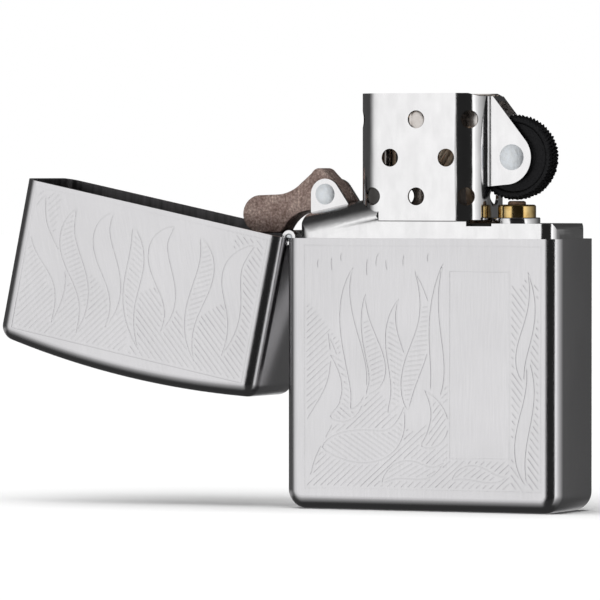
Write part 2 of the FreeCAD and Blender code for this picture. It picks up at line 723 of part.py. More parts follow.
def cam():
    """The cam, drawn about its rivet as it lies with the lid open: a long lobe to the left, a short foot."""
    body = new_body("cam")
    bind(body, Placement__Base__x="Dims.cam_x", Placement__Base__z="Dims.cam_z")
    foot = 2.8
    lobe, lobe_radius = (-9.55, -2.6), 2.45
    sketch = sketch_on(body, "XZ_Plane")
    outline(
        sketch, on_circle(lobe, lobe_radius, 90),
        (-6.9, -0.05),
        ((-5.1, 0.45), (-3.8, 1.35)),
        (-2.2, 2.72),
        ((-1.1, 3.36), (-0.15, 2.85)),
        (1.9, 0.8),
        on_circle((0, 0), foot, -18),
        (on_circle((0, 0), foot, -60), on_circle((0, 0), foot, -100)),
        (-2.0, -2.15),
        ((-4.75, -2.95), (-6.1, -4.45)),
        ((-6.5, -4.9), (-7.2, -5.05)),
        on_circle(lobe, lobe_radius, 270),
        (on_circle(lobe, lobe_radius, 180), on_circle(lobe, lobe_radius, 90)),
    )
    pad(body, sketch, "Dims.cam_width", midplane=True)
    hole = sketch_on(body, "XZ_Plane")
    circle(hole, "0 * Dims.cam_bore", "0 * Dims.cam_bore", "Dims.cam_bore")
    pocket(body, hole, "2 * Dims.cam_width", midplane=True)


def shoulder(side):
    """One sloping shoulder: a bent strip in the YZ plane, drawn out along the ramp round the chimney."""
    outer, ear, inner = dim("insert_depth") / 2, dim("cam_ear_out"), dim("cam_ear_in")
    sheet_thickness, rise, bend = dim("bracket_sheet"), dim("ramp_height"), dim("ramp_bend")
    lap, straight = dim("ramp_lap"), 0.3
    centre = (outer - bend, straight)
    # the bend ends where its tangent runs to the foot of the ear
    across, up = centre[0] - ear, rise - straight
    tilt = math.degrees(math.atan2(across, up) + math.asin(bend / math.hypot(across, up)))
    sketch = doc.addObject("Sketcher::SketchObject", "shoulder_sketch")
    small = bend - sheet_thickness
    points = [
        (outer, -lap), (outer, straight),
        (on_circle(centre, bend, tilt / 2), on_circle(centre, bend, tilt)),
        (ear, rise), (inner, rise), (inner, rise - sheet_thickness),
        (ear, rise - 1.2 * sheet_thickness),
        on_circle(centre, small, tilt),
        (on_circle(centre, small, tilt / 2), (outer - sheet_thickness, straight)),
        (outer - sheet_thickness, -lap), (outer, -lap),
    ]
    turned = FreeCAD.Rotation(V(0, side, 0), V(0, 0, 1), V(side, 0, 0), "ZXY")
    sketch.Placement = FreeCAD.Placement(V(dim("cam_ear_left"), 0, dim("ramp_start")), turned)
    outline(sketch, points[0], *points[1:])
    strip = doc.addObject("Part::Extrusion", "shoulder")
    strip.Base = sketch
    strip.DirMode = "Custom"
    strip.Solid = True
    length = dim("chimney_left") + dim("chimney_corner") - dim("cam_ear_left")
    strip.Dir = V(length, 0, length * dim("ramp_slope"))
    strip.LengthFwd = strip.Dir.Length
    return strip


def cam_ear(side):
    """One ear: straight on the hinge side, round over the rivet, slanting down to the shoulder."""
    pivot, radius, leave = (dim("cam_x"), dim("cam_z")), dim("cam_ear_radius"), dim("cam_ear_angle")
    left, foot = dim("cam_ear_left"), dim("ramp_start") + dim("ramp_height") - dim("bracket_sheet")
    last = on_circle(pivot, radius, leave)
    run = last[1] - foot
    far = last[0] + run * math.tan(math.radians(leave))
    sketch = doc.addObject("Sketcher::SketchObject", "cam_ear_sketch")
    near_face = dim("cam_ear_in") if side > 0 else -dim("cam_ear_out")
    upright_plane = FreeCAD.Rotation(V(1, 0, 0), V(0, 0, 1), V(0, -1, 0), "ZXY")
    sketch.Placement = FreeCAD.Placement(V(0, near_face, 0), upright_plane)
    outline(
        sketch, (left, foot),
        (left, pivot[1]),
        (on_circle(pivot, radius, 100), last),
        (far, foot),
        (left, foot),
    )
    circle(sketch, "Dims.cam_x", "Dims.cam_z", "Dims.cam_rivet_radius + 0.02")
    plate = doc.addObject("Part::Extrusion", "cam_ear")
    plate.Base = sketch
    plate.DirMode = "Custom"
    plate.Dir = V(0, 1, 0)
    plate.Solid = True
    plate.setExpression("LengthFwd", "Dims.cam_ear_out - Dims.cam_ear_in")
    return plate


def cam_bracket():
    """Both shoulders, their end wall and the ears, trimmed to the insert and round the chimney."""
    end_wall = doc.addObject("Part::Box", "bracket_end")
    bind(
        end_wall, Length="Dims.bracket_sheet", Width="Dims.insert_depth", Height="Dims.ramp_height / 2",
        Placement__Base__x="Dims.cam_ear_left", Placement__Base__y="-Dims.insert_depth / 2",
        Placement__Base__z=ramp_expression("Dims.cam_ear_left + Dims.bracket_sheet") + " - Dims.ramp_lap",
    )
    pieces = doc.addObject("Part::MultiFuse", "bracket_pieces")
    pieces.Shapes = [shoulder(-1), shoulder(1), end_wall, cam_ear(-1), cam_ear(1)]
    limit = rounded_block(
        "bracket_limit", "Dims.insert_left", "Dims.insert_right", "Dims.insert_depth",
        "Dims.insert_base", "Dims.chimney_top", "Dims.insert_corner",
    )
    SUB_PARTS.remove(limit)
    trimmed = doc.addObject("Part::MultiCommon", "bracket_trimmed")
    trimmed.Shapes = [pieces, limit]
    room = "0.03"
    hood = rounded_block(
        "bracket_room", f"Dims.chimney_left - {room}", "Dims.chimney_right",
        f"Dims.chimney_depth + 2 * {room}", "Dims.insert_base", "Dims.chimney_top",
        f"Dims.chimney_corner + {room}",
    )
    SUB_PARTS.remove(hood)
    bracket = doc.addObject("Part::Cut", "cam_bracket")
    bracket.Base = trimmed
    bracket.Tool = hood
    return sub_part(bracket, "cam_bracket")


def cam_spring():
    """A leaf spring: up the inside of the insert's end wall, then bent over under the cam's foot."""
    body = new_body("cam_spring")
    thick = dim("spring_sheet")
    wall, foot = dim("insert_left") + dim("insert_wall"), dim("spring_foot")
    bend, rise = 3.0, 45.0
    knee = (wall + bend, dim("case_height") - 2.7)
    inner, outer = bend - thick, bend
    tip = 4.6
    along = (math.cos(math.radians(90 - rise)), math.sin(math.radians(90 - rise)))
    top_start = on_circle(knee, outer, 180 - rise)
    low_start = on_circle(knee, inner, 180 - rise)
    sketch = sketch_on(body, "XZ_Plane")
    outline(
        sketch, (wall, foot),
        (wall, knee[1]),
        (on_circle(knee, outer, 180 - rise / 2), top_start),
        (top_start[0] + tip * along[0], top_start[1] + tip * along[1]),
        (low_start[0] + tip * along[0], low_start[1] + tip * along[1]),
        low_start,
        (on_circle(knee, inner, 180 - rise / 2), (wall + thick, knee[1])),
        (wall + thick, foot),
        (wall, foot),
    )
    pad(body, sketch, "Dims.spring_width", midplane=True)
    hole = sketch_on(body, "YZ_Plane")
    circle(hole, "0 * Dims.spring_width", "Dims.spring_rivet_z", "0.77")
    pocket(body, hole, "Dims.case_width")


def cam_spring_rivet():
    """A flush rivet through the insert's end wall and the leaf spring."""
    body = new_body("cam_spring_rivet")
    bind(body, Placement__Base__x="Dims.insert_left", Placement__Base__z="Dims.spring_rivet_z")
    grip, flat, shank, head = dim("insert_wall") + dim("spring_sheet"), 0.2, 0.75, 1.4
    sketch = sketch_on(body, "XY_Plane")
    outline(
        sketch, (-flat, 0),
        (-flat, head - flat),
        (0, head),
        (0, shank),
        (grip, shank),
        (grip, head),
        (grip + flat, head - flat),
        (grip + flat, 0),
        (-flat, 0),
    )
    revolve(body, sketch, "H_Axis")


def rivet_hole_in_insert():
    """The hole in the insert's end wall for the leaf spring's rivet."""
    body = doc.getObject("insert_shell")
    hole = sketch_on(body, "YZ_Plane")
    circle(hole, "0 * Dims.spring_width", "Dims.spring_rivet_z", "0.77")
    pocket(body, hole, "Dims.case_width")


# ---- flint and its feed ------------------------------------------------------------------------------

def turned_piece(label, radii_and_levels, rounding=None):
    """A piece turned about the flint tube's axis, from its outline as (radius, level) pairs."""
    body = new_body(label)
    bind(body, Placement__Base__x="Dims.wheel_x")
    sketch = sketch_on(body, "XZ_Plane")
    start, *rest = radii_and_levels
    outline(sketch, start, *rest, start)
    revolve(body, sketch, "V_Axis")
    if rounding:
        radius, level, at_radius = rounding
        fillet(
            body, radius,
            lambda box: abs(box.ZMin - level) < 1e-3 and abs(box.ZMax - level) < 1e-3
            and abs(box.XMax - at_radius) < 1e-2,
        )
    return body


def flint_tube():
    bore, shank, flange = dim("tube_bore"), dim("tube_radius"), dim("flange_radius")
    foot, seat, top = dim("tube_foot"), dim("washer_top"), dim("flange_top")
    points = [(bore, foot), (shank, foot), (shank, seat), (flange, seat), (flange, top), (bore, top)]
    turned_piece("flint_tube", points, ("0.3", top, flange))


def flint_tube_washer():
    bore, rim = dim("tube_radius") + 0.03, dim("washer_radius")
    low, high = dim("deck_level"), dim("washer_top")
    points = [(bore, low), (rim, low), (rim, high), (bore, high)]
    turned_piece("flint_tube_washer", points, ("0.15", high, rim))


def flint():
    radius, top, length = dim("flint_radius"), dim("flint_top"), dim("flint_length")
    turned_piece("flint", [(0, top - length), (radius, top - length), (radius, top), (0, top)])


def flint_plunger():
    """The brass tip: a disc against the flint and a spigot that holds the spring."""
    top = dim("flint_top") - dim("flint_length") - 0.02
    low, radius, spigot = top - dim("plunger_length"), dim("flint_radius"), dim("coil_radius") - 0.25
    middle = (low + top) / 2
    points = [(0, low), (spigot, low), (spigot, middle), (radius, middle), (radius, top), (0, top)]
    turned_piece("flint_plunger", points)


def flint_spring():
    """A coil spring from the screw's end up to the plunger's disc."""
    top = dim("flint_top") - dim("flint_length") - dim("plunger_length") / 2
    low, wire = dim("screw_top"), dim("wire_radius")
    coil = doc.addObject("Part::Helix", "coil_path")
    bind(coil, Radius="Dims.coil_radius", Pitch="Dims.coil_pitch")
    coil.Height = top - low - 2 * wire - 0.1
    coil.Placement = FreeCAD.Placement(V(dim("wheel_x"), 0, low + wire + 0.03), FreeCAD.Rotation())
    section = doc.addObject("Part::Circle", "coil_section")
    bind(section, Radius="Dims.wire_radius")
    start = V(dim("wheel_x") + dim("coil_radius"), 0, low + wire + 0.03)
    section.Placement = FreeCAD.Placement(start, FreeCAD.Rotation(V(1, 0, 0), 90))
    spring = doc.addObject("Part::Sweep", "flint_spring")
    spring.Sections = [section]
    spring.Spine = (coil, ["Edge1"])
    spring.Solid = True
    spring.Frenet = True
    return sub_part(spring, "flint_spring")


def flint_screw():
    """A slotted screw with a fine groove for each turn of its thread."""
    head, shank = dim("screw_head_radius"), dim("screw_radius")
    low, high, top = dim("screw_head_low"), dim("screw_head_high"), dim("screw_top")
    pitch, groove = 0.5, 0.15
    turns = int((top - high) / pitch) - 1
    points = [(0, low), (head - 0.2, low), (head, low + 0.2), (head, high), (shank, high)]
    for turn in range(turns):
        level = high + (turn + 1) * pitch
        points += [(shank, level), (shank - groove, level + pitch / 4), (shank, level + pitch / 2)]
    points += [(shank, top - 0.2), (shank - 0.2, top), (0, top)]
    body = turned_piece("flint_screw", points)
    slot = sketch_on(body, "XY_Plane")
    rectangle(
        slot, "-2 * Dims.screw_head_radius", "2 * Dims.screw_head_radius",
        "-Dims.screw_slot / 2", "Dims.screw_slot / 2",
    )
    pocket(body, slot, "Dims.screw_head_low + 0.7", reverse=True)


# ---- soft pieces -------------------------------------------------------------------------------------

def wick():
    body = new_body("wick")
    bind(body, Placement__Base__x="Dims.wick_x")
    sketch = sketch_on(body, "XY_Plane", "Dims.wick_foot")
    circle(sketch, "0 * Dims.wick_x", "0 * Dims.wick_x", "Dims.wick_radius")
    pad(body, sketch, "Dims.wick_top - Dims.wick_foot")
    top = dim("wick_top")
    fillet(body, "0.5", lambda box: box.ZMin > top - 1e-3)


def cotton_packing():
    """The packing that fills the insert, with channels for the wick and the flint tube."""
    body = rounded_block(
        "cotton_packing", "Dims.insert_left + Dims.insert_wall + 1",
        "Dims.insert_right - Dims.insert_wall - Dims.soft_gap",
        "Dims.insert_depth - 2 * Dims.insert_wall - 2 * Dims.soft_gap",
        "Dims.felt_high + Dims.soft_gap", "Dims.packing_high", "Dims.insert_corner - Dims.insert_wall",
    )
    channels = sketch_on(body, "XY_Plane", "Dims.packing_high")
    circle(channels, "Dims.wick_x", "0 * Dims.wick_x", "Dims.wick_radius + Dims.soft_gap")
    circle(channels, "Dims.wheel_x", "0 * Dims.wheel_x", "Dims.tube_radius + Dims.soft_gap")
    pocket(body, channels, "2 * Dims.packing_high")


def felt_pad():
    body = rounded_block(
        "felt_pad", "Dims.insert_left + Dims.insert_wall + Dims.soft_gap",
        "Dims.insert_right - Dims.insert_wall - Dims.soft_gap",
        "Dims.insert_depth - 2 * Dims.insert_wall - 2 * Dims.soft_gap",
        "Dims.felt_low", "Dims.felt_high", "Dims.insert_corner - Dims.insert_wall",
    )
    hole = sketch_on(body, "XY_Plane", "Dims.felt_high")
    circle(hole, "Dims.wheel_x", "0 * Dims.wheel_x", "Dims.screw_head_radius + Dims.soft_gap")
    pocket(body, hole, "2 * Dims.felt_high")


# ---- the whole lighter -------------------------------------------------------------------------------

def build():
    fill_sheet()
    case_shell()
    hinge_leaf("case_hinge_leaf", -1, (-1, 1))
    hinge_pin()
    lid_shell()
    open_lid(hinge_leaf("lid_hinge_leaf", 1, (-2, 0, 2)))
    insert_shell()
    rivet_hole_in_insert()
    top_plate()
    cam_bracket()
    chimney()
    cam_spring()
    cam_spring_rivet()
    rivet("cam_rivet", "Dims.cam_x", "Dims.cam_z", "Dims.cam_rivet_radius", "Dims.cam_rivet_head",
          "Dims.cam_rivet_dome", "Dims.cam_ear_out")
    rivet("wheel_rivet", "Dims.wheel_x", "Dims.wheel_z", "Dims.wheel_rivet_radius",
          "Dims.wheel_rivet_head", "Dims.wheel_rivet_dome", "Dims.wheel_ear_out")
    flint_tube()
    flint_tube_washer()
    wick()
    cotton_packing()
    felt_pad()
    cam()
    flint_wheel()
    flint()
    flint_plunger()
    flint_spring()
    flint_screw()
    doc.recompute()


def check():
    """Stops on any failed object and on any sub-part without a valid, non-empty solid."""
    for item in doc.Objects:
        if {"Invalid", "Error"} & set(item.State):
            raise RuntimeError(f"{item.Label} failed: {item.State}")
    for item in SUB_PARTS:
        shape = item.Shape
        if shape.isNull() or not shape.isValid() or not shape.Solids:
            raise RuntimeError(f"{item.Label} has no valid solid")


def export():
    os.makedirs("parts", exist_ok=True)
    for item in SUB_PARTS:
        item.Shape.exportStep(f"parts/{item.Label}.step")
        box = item.Shape.BoundBox
        print(f"{item.Label}: {item.Shape.Volume:.2f} mm3, {len(item.Shape.Solids)} solid,",
              f"x {box.XMin:.2f}..{box.XMax:.2f}, y {box.YMin:.2f}..{box.YMax:.2f},",
              f"z {box.ZMin:.2f}..{box.ZMax:.2f}")


build()
check()
export()
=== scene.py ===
"""Looks of the flip-top pocket lighter: engraved shells, filed wheel, wick, packing, materials and studio."""
import math
import random

import bmesh
import bpy
import numpy as np
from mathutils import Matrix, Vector
from mathutils.geometry import delaunay_2d_cdt


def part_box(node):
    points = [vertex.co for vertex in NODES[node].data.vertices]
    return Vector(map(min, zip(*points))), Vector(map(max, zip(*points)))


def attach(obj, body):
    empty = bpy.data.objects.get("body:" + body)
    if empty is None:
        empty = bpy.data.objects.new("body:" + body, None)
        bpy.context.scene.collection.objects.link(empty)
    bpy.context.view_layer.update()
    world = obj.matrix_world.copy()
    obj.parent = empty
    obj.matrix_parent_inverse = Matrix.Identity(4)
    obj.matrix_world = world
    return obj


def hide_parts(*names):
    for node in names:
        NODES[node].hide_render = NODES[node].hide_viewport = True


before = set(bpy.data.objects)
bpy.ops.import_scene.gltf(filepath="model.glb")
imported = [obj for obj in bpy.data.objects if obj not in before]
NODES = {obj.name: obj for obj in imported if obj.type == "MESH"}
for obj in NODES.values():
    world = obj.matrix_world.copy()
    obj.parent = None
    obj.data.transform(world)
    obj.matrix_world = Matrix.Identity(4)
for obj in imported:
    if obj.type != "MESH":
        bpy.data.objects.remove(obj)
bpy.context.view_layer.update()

MM = 0.001

# the hinge pin's axis, and how far the lid is open at rest
HINGE_X, HINGE_Z = -19.15, 34.95
OPEN_ANGLE = math.radians(168.4)
FRONT_Y = -6.45
# the wind hood's middle column of holes, and the outer face of its wall at the wheel
HOOD_MIDDLE, HOOD_RIGHT = -0.95, 7.4
# half of what each rivet of the cam and wheel grips, and how much of its domes' height is kept
RIVET_GRIPS = {"cam_rivet": 2.2, "wheel_rivet": 1.8}
DOME_KEPT = 0.3
# where the bracket's end at the wheel starts, and how far out its corners stay
BRACKET_END = (-6.25, 5.54)
# the gaps in the deck under the hood's wheel-end corners, whose faces are painted near-black as shade
NOTCHES = ((6.0, 9.7), (4.5, 5.6), (36.45, 36.84))


# ---- nodes and materials -----------------------------------------------------------------------------

class Mat:
    """A node material with short helpers for the nodes that the finishes here share."""

    def __init__(self, name, **principled):
        self.material = bpy.data.materials.new(name)
        self.material.use_nodes = True
        self.tree = self.material.node_tree
        self.shader = next(n for n in self.tree.nodes if n.type == "BSDF_PRINCIPLED")
        for socket, value in principled.items():
            self.shader.inputs[socket.replace("_", " ")].default_value = value
        self.where = self.tree.nodes.new("ShaderNodeTexCoord").outputs["Object"]

    def turned(self, angle):
        """Turns the coordinates about the hinge's direction, for a grain that follows a tilted part."""
        mapping = self.add("Mapping", Rotation=(0, angle, 0))
        self.link(self.where, mapping.inputs["Vector"])
        self.where = mapping.outputs["Vector"]

    def link(self, a, b):
        self.tree.links.new(a, b)

    def add(self, kind, **values):
        node = self.tree.nodes.new("ShaderNode" + kind)
        for name, value in values.items():
            if hasattr(node, name):
                setattr(node, name, value)
            else:
                node.inputs[name.replace("_", " ")].default_value = value
        return node

    def stretched(self, scale):
        """Object coordinates in millimetres, each axis times its own factor."""
        mapping = self.add("Mapping", Scale=[s / MM for s in scale])
        self.link(self.where, mapping.inputs["Vector"])
        return mapping.outputs["Vector"]

    def noise(self, scale, detail=2.0, roughness=0.5, distortion=0.0):
        """Noise whose features are about 1 / scale millimetres; scale is one number, or one for each axis."""
        if not hasattr(scale, "__len__"):
            scale = (scale,) * 3
        node = self.add("TexNoise", Scale=1.0, Detail=detail, Roughness=roughness, Distortion=distortion)
        self.link(self.stretched(scale), node.inputs["Vector"])
        return node.outputs["Fac"]

    def cells(self, scale, feature="F1"):
        node = self.add("TexVoronoi", feature=feature, Scale=1.0)
        self.link(self.stretched((scale,) * 3), node.inputs["Vector"])
        return node.outputs["Distance"]

    def ramp(self, source, *stops):
        """Colours or greys against a value; a stop is (position, grey) or (position, r, g, b)."""
        node = self.add("ValToRGB")
        elements = node.color_ramp.elements
        while len(elements) < len(stops):
            elements.new(0.5)
        for element, (place, *colour) in zip(elements, stops):
            element.position = place
            element.color = (*colour, 1) if len(colour) == 3 else (colour[0],) * 3 + (1,)
        self.link(source, node.inputs["Fac"])
        return node.outputs["Color"]

    def span(self, source, low, high, start=0.3, end=0.7):
        """Spreads a noise's usual range over low to high."""
        node = self.add("MapRange", clamp=True)
        for name, value in (("From Min", start), ("From Max", end), ("To Min", low), ("To Max", high)):
            node.inputs[name].default_value = value
        self.link(source, node.inputs["Value"])
        return node.outputs["Result"]

    def total(self, a, b, operation="ADD"):
        node = self.add("Math", operation=operation)
        self.link(a, node.inputs[0])
        if hasattr(b, "node"):
            self.link(b, node.inputs[1])
        else:
            node.inputs[1].default_value = b
        return node.outputs[0]

    def colour(self, source):
        self.link(source, self.shader.inputs["Base Color"])

    def rough(self, source):
        self.link(source, self.shader.inputs["Roughness"])

    def bump(self, source, depth, strength=1.0):
        """depth in millimetres for a height source that runs from 0 to 1."""
        node = self.add("Bump", Distance=depth * MM, Strength=strength)
        self.link(source, node.inputs["Height"])
        self.link(node.outputs["Normal"], self.shader.inputs["Normal"])


def satin_chrome(name="satin_chrome", lean=0.0):
    """Brushed chrome: fine scratches along the part's height, over a soft even satin."""
    mat = Mat(name, Metallic=1.0)
    if lean:
        mat.turned(lean)
    scratches = mat.noise((7.0, 7.0, 0.22), detail=4.0, roughness=0.7)
    grain = mat.noise(11.0, detail=3.0)
    clouds = mat.noise(0.10, detail=2.0)
    mixed = mat.total(mat.total(scratches, 0.7, "MULTIPLY"), mat.total(grain, 0.3, "MULTIPLY"))
    mat.colour(mat.ramp(mixed, (0.32, 0.635, 0.627, 0.64), (0.68, 0.685, 0.677, 0.69)))
    mat.rough(mat.total(mat.span(grain, 0.17, 0.24), mat.span(clouds, -0.02, 0.03)))
    mat.bump(mixed, 0.0025)
    return mat.material


def sheet_steel(name="sheet_steel", roughness=(0.07, 0.13)):
    """Bright pressed sheet: almost a mirror, with faint waviness, a few fine scratches and smudges."""
    mat = Mat(name, Metallic=1.0)
    waves = mat.noise(0.30, detail=1.0)
    scratches = mat.noise((3.2, 3.2, 0.15), detail=3.0, roughness=0.7)
    smudges = mat.noise((0.6, 0.6, 0.3), detail=4.0)
    mat.colour(mat.ramp(smudges, (0.33, 0.74, 0.735, 0.74), (0.67, 0.82, 0.815, 0.82)))
    mat.rough(mat.total(mat.span(scratches, *roughness), mat.span(smudges, 0.0, 0.04)))
    mat.bump(mat.total(waves, mat.total(scratches, 0.06, "MULTIPLY")), 0.05)
    return mat.material


def hood_lining():
    """The hood's inside: the same sheet, darker and browner than its outside."""
    mat = Mat("hood_lining", Metallic=1.0)
    tint = mat.noise(0.5, detail=4.0, roughness=0.65)
    mat.colour(mat.ramp(tint, (0.35, 0.50, 0.46, 0.43), (0.65, 0.70, 0.67, 0.65)))
    mat.rough(mat.span(tint, 0.05, 0.12))
    return mat.material


def shadow_steel():
    """Cut edges that look into the dark of the insert, painted near-black as shade."""
    mat = Mat("shadow_steel", Metallic=0.3)
    shade_grain = mat.noise(2.0, detail=3.0)
    mat.colour(mat.ramp(shade_grain, (0.3, 0.008, 0.008, 0.007), (0.7, 0.03, 0.028, 0.025)))
    mat.rough(mat.span(shade_grain, 0.5, 0.8))
    return mat.material


def painted_shade_inside():
    """The inside of the shells: duller sheet with drawing marks, its colour painted darker as shade."""
    mat = Mat("painted_shade_inside", Metallic=1.0)
    marks = mat.noise((2.5, 2.5, 0.2), detail=4.0)
    mat.colour(mat.ramp(marks, (0.3, 0.16, 0.155, 0.16), (0.7, 0.27, 0.26, 0.27)))
    mat.rough(mat.span(marks, 0.32, 0.48))
    mat.bump(marks, 0.01)
    return mat.material


def rivet_steel():
    mat = Mat("rivet_steel", Metallic=1.0)
    marks = mat.noise(2.2, detail=3.0)
    mat.colour(mat.ramp(marks, (0.35, 0.78, 0.82, 0.86), (0.65, 0.90, 0.93, 0.95)))
    mat.rough(mat.span(marks, 0.30, 0.40))
    mat.bump(marks, 0.02)
    return mat.material


def spring_steel():
    mat = Mat("spring_steel", Metallic=1.0)
    marks = mat.noise((0.6, 4.0, 0.6), detail=3.0)
    mat.colour(mat.ramp(marks, (0.3, 0.30, 0.29, 0.29), (0.7, 0.42, 0.41, 0.41)))
    mat.rough(mat.span(marks, 0.25, 0.4))
    mat.bump(marks, 0.005)
    return mat.material


def tube_brass():
    """Turned brass: fine rings round the tube, a little tarnish."""
    mat = Mat("tube_brass", Metallic=1.0)
    rings = mat.noise((0.2, 0.2, 6.0), detail=2.0)
    tarnish = mat.noise(0.8, detail=4.0)
    mat.colour(mat.ramp(tarnish, (0.3, 0.56, 0.36, 0.12), (0.55, 0.80, 0.58, 0.25), (0.8, 0.88, 0.68, 0.34)))
    mat.rough(mat.span(tarnish, 0.12, 0.24))
    mat.bump(rings, 0.006)
    return mat.material


def sintered_bronze():
    """Pressed and sintered metal: brown with light and dark grains and tiny pores."""
    mat = Mat("sintered_bronze", Metallic=0.75)
    grains = mat.noise(3.0, detail=5.0, roughness=0.74)
    blotches = mat.noise(0.45, detail=2.0)
    pores = mat.cells(3.2)
    mixed = mat.total(mat.total(grains, 0.75, "MULTIPLY"), mat.total(blotches, 0.25, "MULTIPLY"))
    mat.colour(mat.ramp(
        mixed, (0.36, 0.14, 0.090, 0.078), (0.46, 0.37, 0.260, 0.225),
        (0.54, 0.57, 0.430, 0.380), (0.62, 0.94, 0.80, 0.71),
    ))
    mat.rough(mat.span(grains, 0.42, 0.62))
    mat.bump(mat.total(mat.total(grains, 0.8, "MULTIPLY"), mat.total(pores, 0.4, "MULTIPLY")), 0.05)
    return mat.material


def blackened_steel():
    mat = Mat("blackened_steel", Metallic=0.85)
    grain = mat.noise(5.0, detail=4.0)
    mat.colour(mat.ramp(grain, (0.3, 0.010, 0.010, 0.011), (0.7, 0.032, 0.032, 0.034)))
    mat.rough(mat.span(grain, 0.38, 0.55))
    mat.bump(grain, 0.015)
    return mat.material


def flint_alloy():
    mat = Mat("flint_alloy", Metallic=0.5)
    grain = mat.noise(6.0, detail=4.0)
    mat.colour(mat.ramp(grain, (0.3, 0.14, 0.085, 0.055), (0.7, 0.32, 0.21, 0.14)))
    mat.rough(mat.span(grain, 0.4, 0.65))
    mat.bump(grain, 0.03)
    return mat.material


def cotton_yarn():
    """Soft off-white to tan fibre with fine hairs along the strands."""
    mat = Mat("cotton_yarn", Roughness=0.95, Sheen_Weight=0.3)
    hairs = mat.noise((6.0, 6.0, 1.2), detail=4.0)
    stains = mat.noise(0.5, detail=2.0)
    mixed = mat.total(mat.total(hairs, 0.4, "MULTIPLY"), mat.total(stains, 0.6, "MULTIPLY"))
    mat.colour(mat.ramp(mixed, (0.35, 0.26, 0.17, 0.11), (0.5, 0.50, 0.38, 0.27), (0.65, 0.72, 0.62, 0.50)))
    mat.bump(hairs, 0.05)
    return mat.material


def white_cotton():
    mat = Mat("white_cotton", Roughness=1.0, Sheen_Weight=0.4)
    tufts = mat.noise(0.9, detail=5.0, roughness=0.7, distortion=0.8)
    mat.colour(mat.ramp(tufts, (0.3, 0.70, 0.68, 0.64), (0.7, 0.88, 0.87, 0.84)))
    mat.bump(tufts, 0.3)
    return mat.material


def felt():
    """Pressed felt: matted short fibres with darker flecks."""
    mat = Mat("felt", Roughness=1.0, Sheen_Weight=0.5)
    fibres = mat.noise(3.5, detail=6.0, roughness=0.75, distortion=1.5)
    flecks = mat.noise(1.1, detail=1.0)
    mat.colour(mat.ramp(flecks, (0.3, 0.50, 0.49, 0.47), (0.5, 0.66, 0.65, 0.63), (0.7, 0.74, 0.73, 0.71)))
    mat.bump(fibres, 0.15)
    return mat.material


def copper_wire():
    mat = Mat("copper_wire", Metallic=1.0)
    marks = mat.noise(4.0, detail=2.0)
    mat.colour(mat.ramp(marks, (0.3, 0.60, 0.26, 0.13), (0.7, 0.85, 0.45, 0.28)))
    mat.rough(mat.span(marks, 0.25, 0.4))
    return mat.material


# ---- mesh helpers ------------------------------------------------------------------------------------

def new_object(name, vertices, faces, material):
    """A mesh object from points in millimetres."""
    mesh = bpy.data.meshes.new(name)
    mesh.from_pydata([tuple(c * MM for c in v) for v in vertices], [], faces)
    mesh.validate()
    mesh.materials.append(material)
    obj = bpy.data.objects.new(name, mesh)
    bpy.context.scene.collection.objects.link(obj)
    return obj


def smooth(obj, degrees=30, flat=None):
    """Smooth shading; edges sharper than the angle stay sharp, and so do the edges round the flat faces."""
    bm = bmesh.new()
    bm.from_mesh(obj.data)
    limit = math.radians(degrees)
    for face in bm.faces:
        face.smooth = not (flat and flat(face))
    for edge in bm.edges:
        sides = edge.link_faces
        edge.smooth = (len(sides) == 2 and sides[0].smooth and sides[1].smooth
                       and edge.calc_face_angle(0) < limit)
    bm.to_mesh(obj.data)
    bm.free()


def refined(node, material, bevel=0.0, degrees=30, segments=3):
    """A finished copy of a CAD node: one welded skin, eased edges, and smooth where the surface is round.

    Its name is the node's with _finished after it."""
    bm = bmesh.new()
    bm.from_mesh(NODES[node].data)
    bmesh.ops.remove_doubles(bm, verts=bm.verts, dist=0.0005 * MM)
    if bevel:
        bmesh.ops.dissolve_limit(bm, angle_limit=math.radians(0.5), verts=bm.verts, edges=bm.edges)
        limit = math.radians(degrees)
        sharp = [e for e in bm.edges if len(e.link_faces) == 2 and e.calc_face_angle(0) > limit]
        bmesh.ops.bevel(bm, geom=sharp, offset=bevel * MM, offset_type="OFFSET", segments=segments,
                        profile=0.5, affect="EDGES", clamp_overlap=True)
        bmesh.ops.dissolve_degenerate(bm, dist=0.0005 * MM, edges=bm.edges)
    bm.verts.index_update()
    points = [tuple(v.co / MM) for v in bm.verts]
    faces = [[v.index for v in face.verts] for face in bm.faces]
    bm.free()
    obj = new_object(node + "_finished", points, faces, material)
    smooth(obj, degrees)
    return obj


def middle_of(node):
    low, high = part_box(node)
    return (Vector(low) + Vector(high)) / 2


def line_inside(obj, middle, material, reach=math.inf):
    """Gives the faces that look towards a middle point, left of a reach along X, their own material."""
    obj.data.materials.append(material)
    for face in obj.data.polygons:
        if face.center.x < reach and (face.center - middle).dot(face.normal) < 0:
            face.material_index = 1


def darken(obj, region, material):
    """Gives the faces in a box of (low, high) pairs for x, |y| and z, in millimetres, their own material."""
    obj.data.materials.append(material)
    for face in obj.data.polygons:
        x, y, z = face.center / MM
        if all(low < value < high for value, (low, high) in zip((x, abs(y), z), region)):
            face.material_index = len(obj.data.materials) - 1


def flatten_heads(obj, grip):
    """Peened flat: lowers a rivet's two domes towards what it grips."""
    for vertex in obj.data.vertices:
        beyond = abs(vertex.co.y) - grip * MM
        if beyond > 0:
            vertex.co.y = math.copysign(grip * MM + DOME_KEPT * beyond, vertex.co.y)


def ease_end(obj, start, inwards):
    """Turns the corners of a bent sheet's end in a little, where it lies on the next sheet."""
    for vertex in obj.data.vertices:
        if vertex.co.x > start * MM and abs(vertex.co.y) > inwards * MM:
            vertex.co.y = math.copysign(inwards * MM, vertex.co.y)


def finish_piece(obj, body, slot, *nodes):
    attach(obj, body)
    if nodes:
        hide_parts(*nodes)
    return obj


